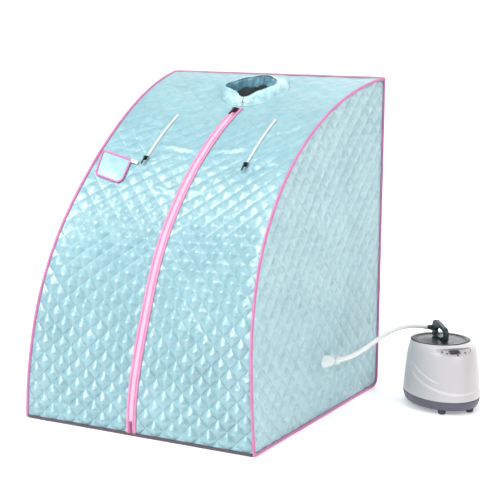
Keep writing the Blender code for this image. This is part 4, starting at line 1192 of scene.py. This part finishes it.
def make_steamer(mats):
    shell = smooth_profile(HOUSING_OUTSIDE, 5) + list(HOUSING_INSIDE)
    housing = loft("steamer_shell", oval(shell, 96), mats["white"], ring=True)
    matrix = panel_matrix()
    recess = [[matrix @ Vector((x, y, z)) for x, y in crescent(0.0008)] for z in (-0.0095, 0.03)]
    cut(housing, [loft("panel_recess", recess, mats["white"], None)])
    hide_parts("steamer_housing")

    face_rows = [[matrix @ Vector((x * k, (y - 0.004) * k + 0.004, z)) for x, y in crescent(0.0)]
                 for k, z in ((1.0, -0.0055), (1.0, -0.0030), (0.985, -0.0025), (0.93, -0.0025))]
    face = sharpen(loft("panel_face", face_rows, mats["panel"]), 30)
    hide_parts("control_panel")
    frame_rows = []
    for k, z in ((1.0, -0.0026), (1.0, -0.0014), (0.90, -0.0010), (0.86, -0.0026)):
        corners = [[math.copysign(abs(part) ** 0.6, part) * k for part in (math.cos(a), math.sin(a))]
                   for a in turns(40)]
        frame_rows.append([matrix @ Vector((-0.002 + 0.0175 * x, -0.0003 + 0.0080 * y, z))
                           for x, y in corners])
    bezel = loft("display_bezel", frame_rows, mats["button"], ring=True)

    swoosh(mats, "upper_swoosh", ((184, 0.134), (198, 0.118), (216, 0.100), (238, 0.085)), 0.010)
    swoosh(mats, "lower_swoosh", ((182, 0.112), (196, 0.096), (218, 0.076), (246, 0.063),
                                  (276, 0.060), (306, 0.067)), 0.012)

    tray = ((0.0600, 0.0850, 0.0090, 0.0), (0.0880, 0.1200, 0.0100, 0.0), (0.0965, 0.1310, 0.0130, 0.0),
            (0.1010, 0.1365, 0.0240, 0.0), (0.1028, 0.1388, 0.0372, 0.0), (0.1018, 0.1380, 0.0382, 0.0),
            (0.0965, 0.1325, 0.0380, 0.0), (0.0945, 0.1305, 0.0200, 0.0), (0.0860, 0.1180, 0.0150, 0.0))
    base = sharpen(loft("steamer_tray", oval(tray, 96), mats["base"]), 50)
    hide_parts("steamer_base")
    foot_profile = ((0.0070, 0.0), (0.0088, 0.0006), (0.0105, 0.003), (0.0115, 0.0125))
    spots = ((-0.042, -0.103), (0.042, -0.103), (-0.042, 0.103), (0.042, 0.103))
    for index, spot in enumerate(spots, start=1):
        foot = loft("steamer_foot_%d" % index, disc(foot_profile, 24, *spot), mats["foot"])
    make_lid(mats)


def disc(profile, count, x=0.0, y=LID_SHIFT):
    """Round rows from (radius, height) about a spot of the steamer."""
    return [[SEAT @ Vector((x + r * math.cos(angle), y + r * math.sin(angle), z)) for angle in turns(count)]
            for r, z in profile]


def make_lid(mats):
    rim = ((0.0700, 0.1765), (0.0812, 0.1768), (0.0815, 0.1775), (0.0815, 0.1822), (0.0800, 0.1846),
           (0.0770, 0.1856), (0.0735, 0.1852), (0.0715, 0.1840), (0.0700, 0.1820))
    hollow = ((0.0695, 0.1770), (0.0712, 0.1838), (0.0660, 0.1826), (0.0560, 0.1834), (0.0420, 0.1845),
              (0.0250, 0.1850), (0.0080, 0.1852))
    ring = loft("lid_rim", disc(rim, 80), mats["lid_ring"], "steamer_lid", ring=True)
    dish = loft("lid_dish", disc(hollow, 80), mats["lid"], "steamer_lid")
    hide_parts("lid_cover")

    def loop_outline(scale):
        points = [Vector((0.064, 0.1862)), Vector((-0.026, 0.1862))]
        for (y, z), start, radius in (((-0.008, 0.2045), 180, 0.0190), ((0.046, 0.2140), 90, 0.0200)):
            for i in range(9):
                angle = math.radians(start - 90 * i / 8)
                points.append(Vector((y + radius * math.cos(angle), z + radius * math.sin(angle))))
        middle = Vector((0.020, 0.2055))
        return [Vector((0, *(middle + (p - middle) * scale))) for p in points]

    rows = []
    for x, scale in ((-0.0066, 0.950), (-0.0060, 0.982), (-0.0040, 1.0), (0.0040, 1.0), (0.0060, 0.982),
                     (0.0066, 0.950)):
        rows.append([SEAT @ (p + Vector((x, 0, 0))) for p in loop_outline(scale)])
    handle = loft("lid_loop_handle", rows, mats["handle"], "steamer_lid")
    gap = [[SEAT @ Vector((x, 0.016 + 0.032 * math.cos(a), 0.2035 + 0.0130 * math.sin(a)))
            for a in turns(48)] for x in (-0.03, 0.03)]
    room = [ring_points(HOSE_END + Vector((d, 0, 0)), (1, 0, 0), 0.0080, 24) for d in (-0.02, 0.0110)]
    cut(handle, [loft("gap", gap, mats["handle"], None), loft("room", room, mats["handle"], None)])
    boss = loft("nozzle_boss", [ring_points(HOSE_END + Vector((d, 0, 0)), (1, 0, 0), r, 32)
                                for d, r in ((0.0106, 0.0070), (0.0110, 0.0084), (0.0240, 0.0085),
                                             (0.0262, 0.0070))], mats["handle"], "steamer_lid")
    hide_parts("lid_handle")


# ---------------------------------------------------------------- carried-over CAD nodes

def dress_nodes(mats):
    looks = {
        "plum": ("front_zip_slider", "front_zip_pull"),
        "green": ("left_arm_zip_slider", "left_arm_zip_pull", "right_arm_zip_slider", "right_arm_zip_pull"),
        "tube": ("left_bow_pole", "right_bow_pole", "left_back_post", "right_back_post", "left_base_rail",
                 "right_base_rail", "front_base_rail", "back_base_rail", "top_back_rail"),
        "block": ("front_left_corner", "front_right_corner", "back_left_corner", "back_right_corner",
                  "top_left_corner", "top_right_corner", "steam_outlet"),
        "base": ("power_inlet",),
        "button": ("steamer_button_1", "steamer_button_2", "steamer_button_3", "steamer_button_4"),
        "display": ("display_window",),
        "handle": ("steam_nozzle",),
        "silicone": ("lid_gasket",),
        "steel": ("boiler_pot", "heating_element"),
        "board": ("control_board",),
    }
    for look, names in looks.items():
        for name in names:
            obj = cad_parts[name]
            for index in range(len(obj.material_slots)):
                obj.material_slots[index].material = mats[look]


def build():
    make_camera()
    mats = make_materials()
    make_hose(mats)
    make_studio()
    tent_skin(mats)
    side_panel("quilted_right_side", 1, mats, "right_side_panel")
    side_panel("quilted_left_side", -1, mats, "left_side_panel")
    back_panel(mats)
    floor_sheet(mats)
    make_piping(mats)
    make_zips(mats)
    make_pocket(mats)
    make_collar(mats)
    make_sleeve(mats)
    make_steamer(mats)
    dress_nodes(mats)


build()
bpy.context.view_layer.update()
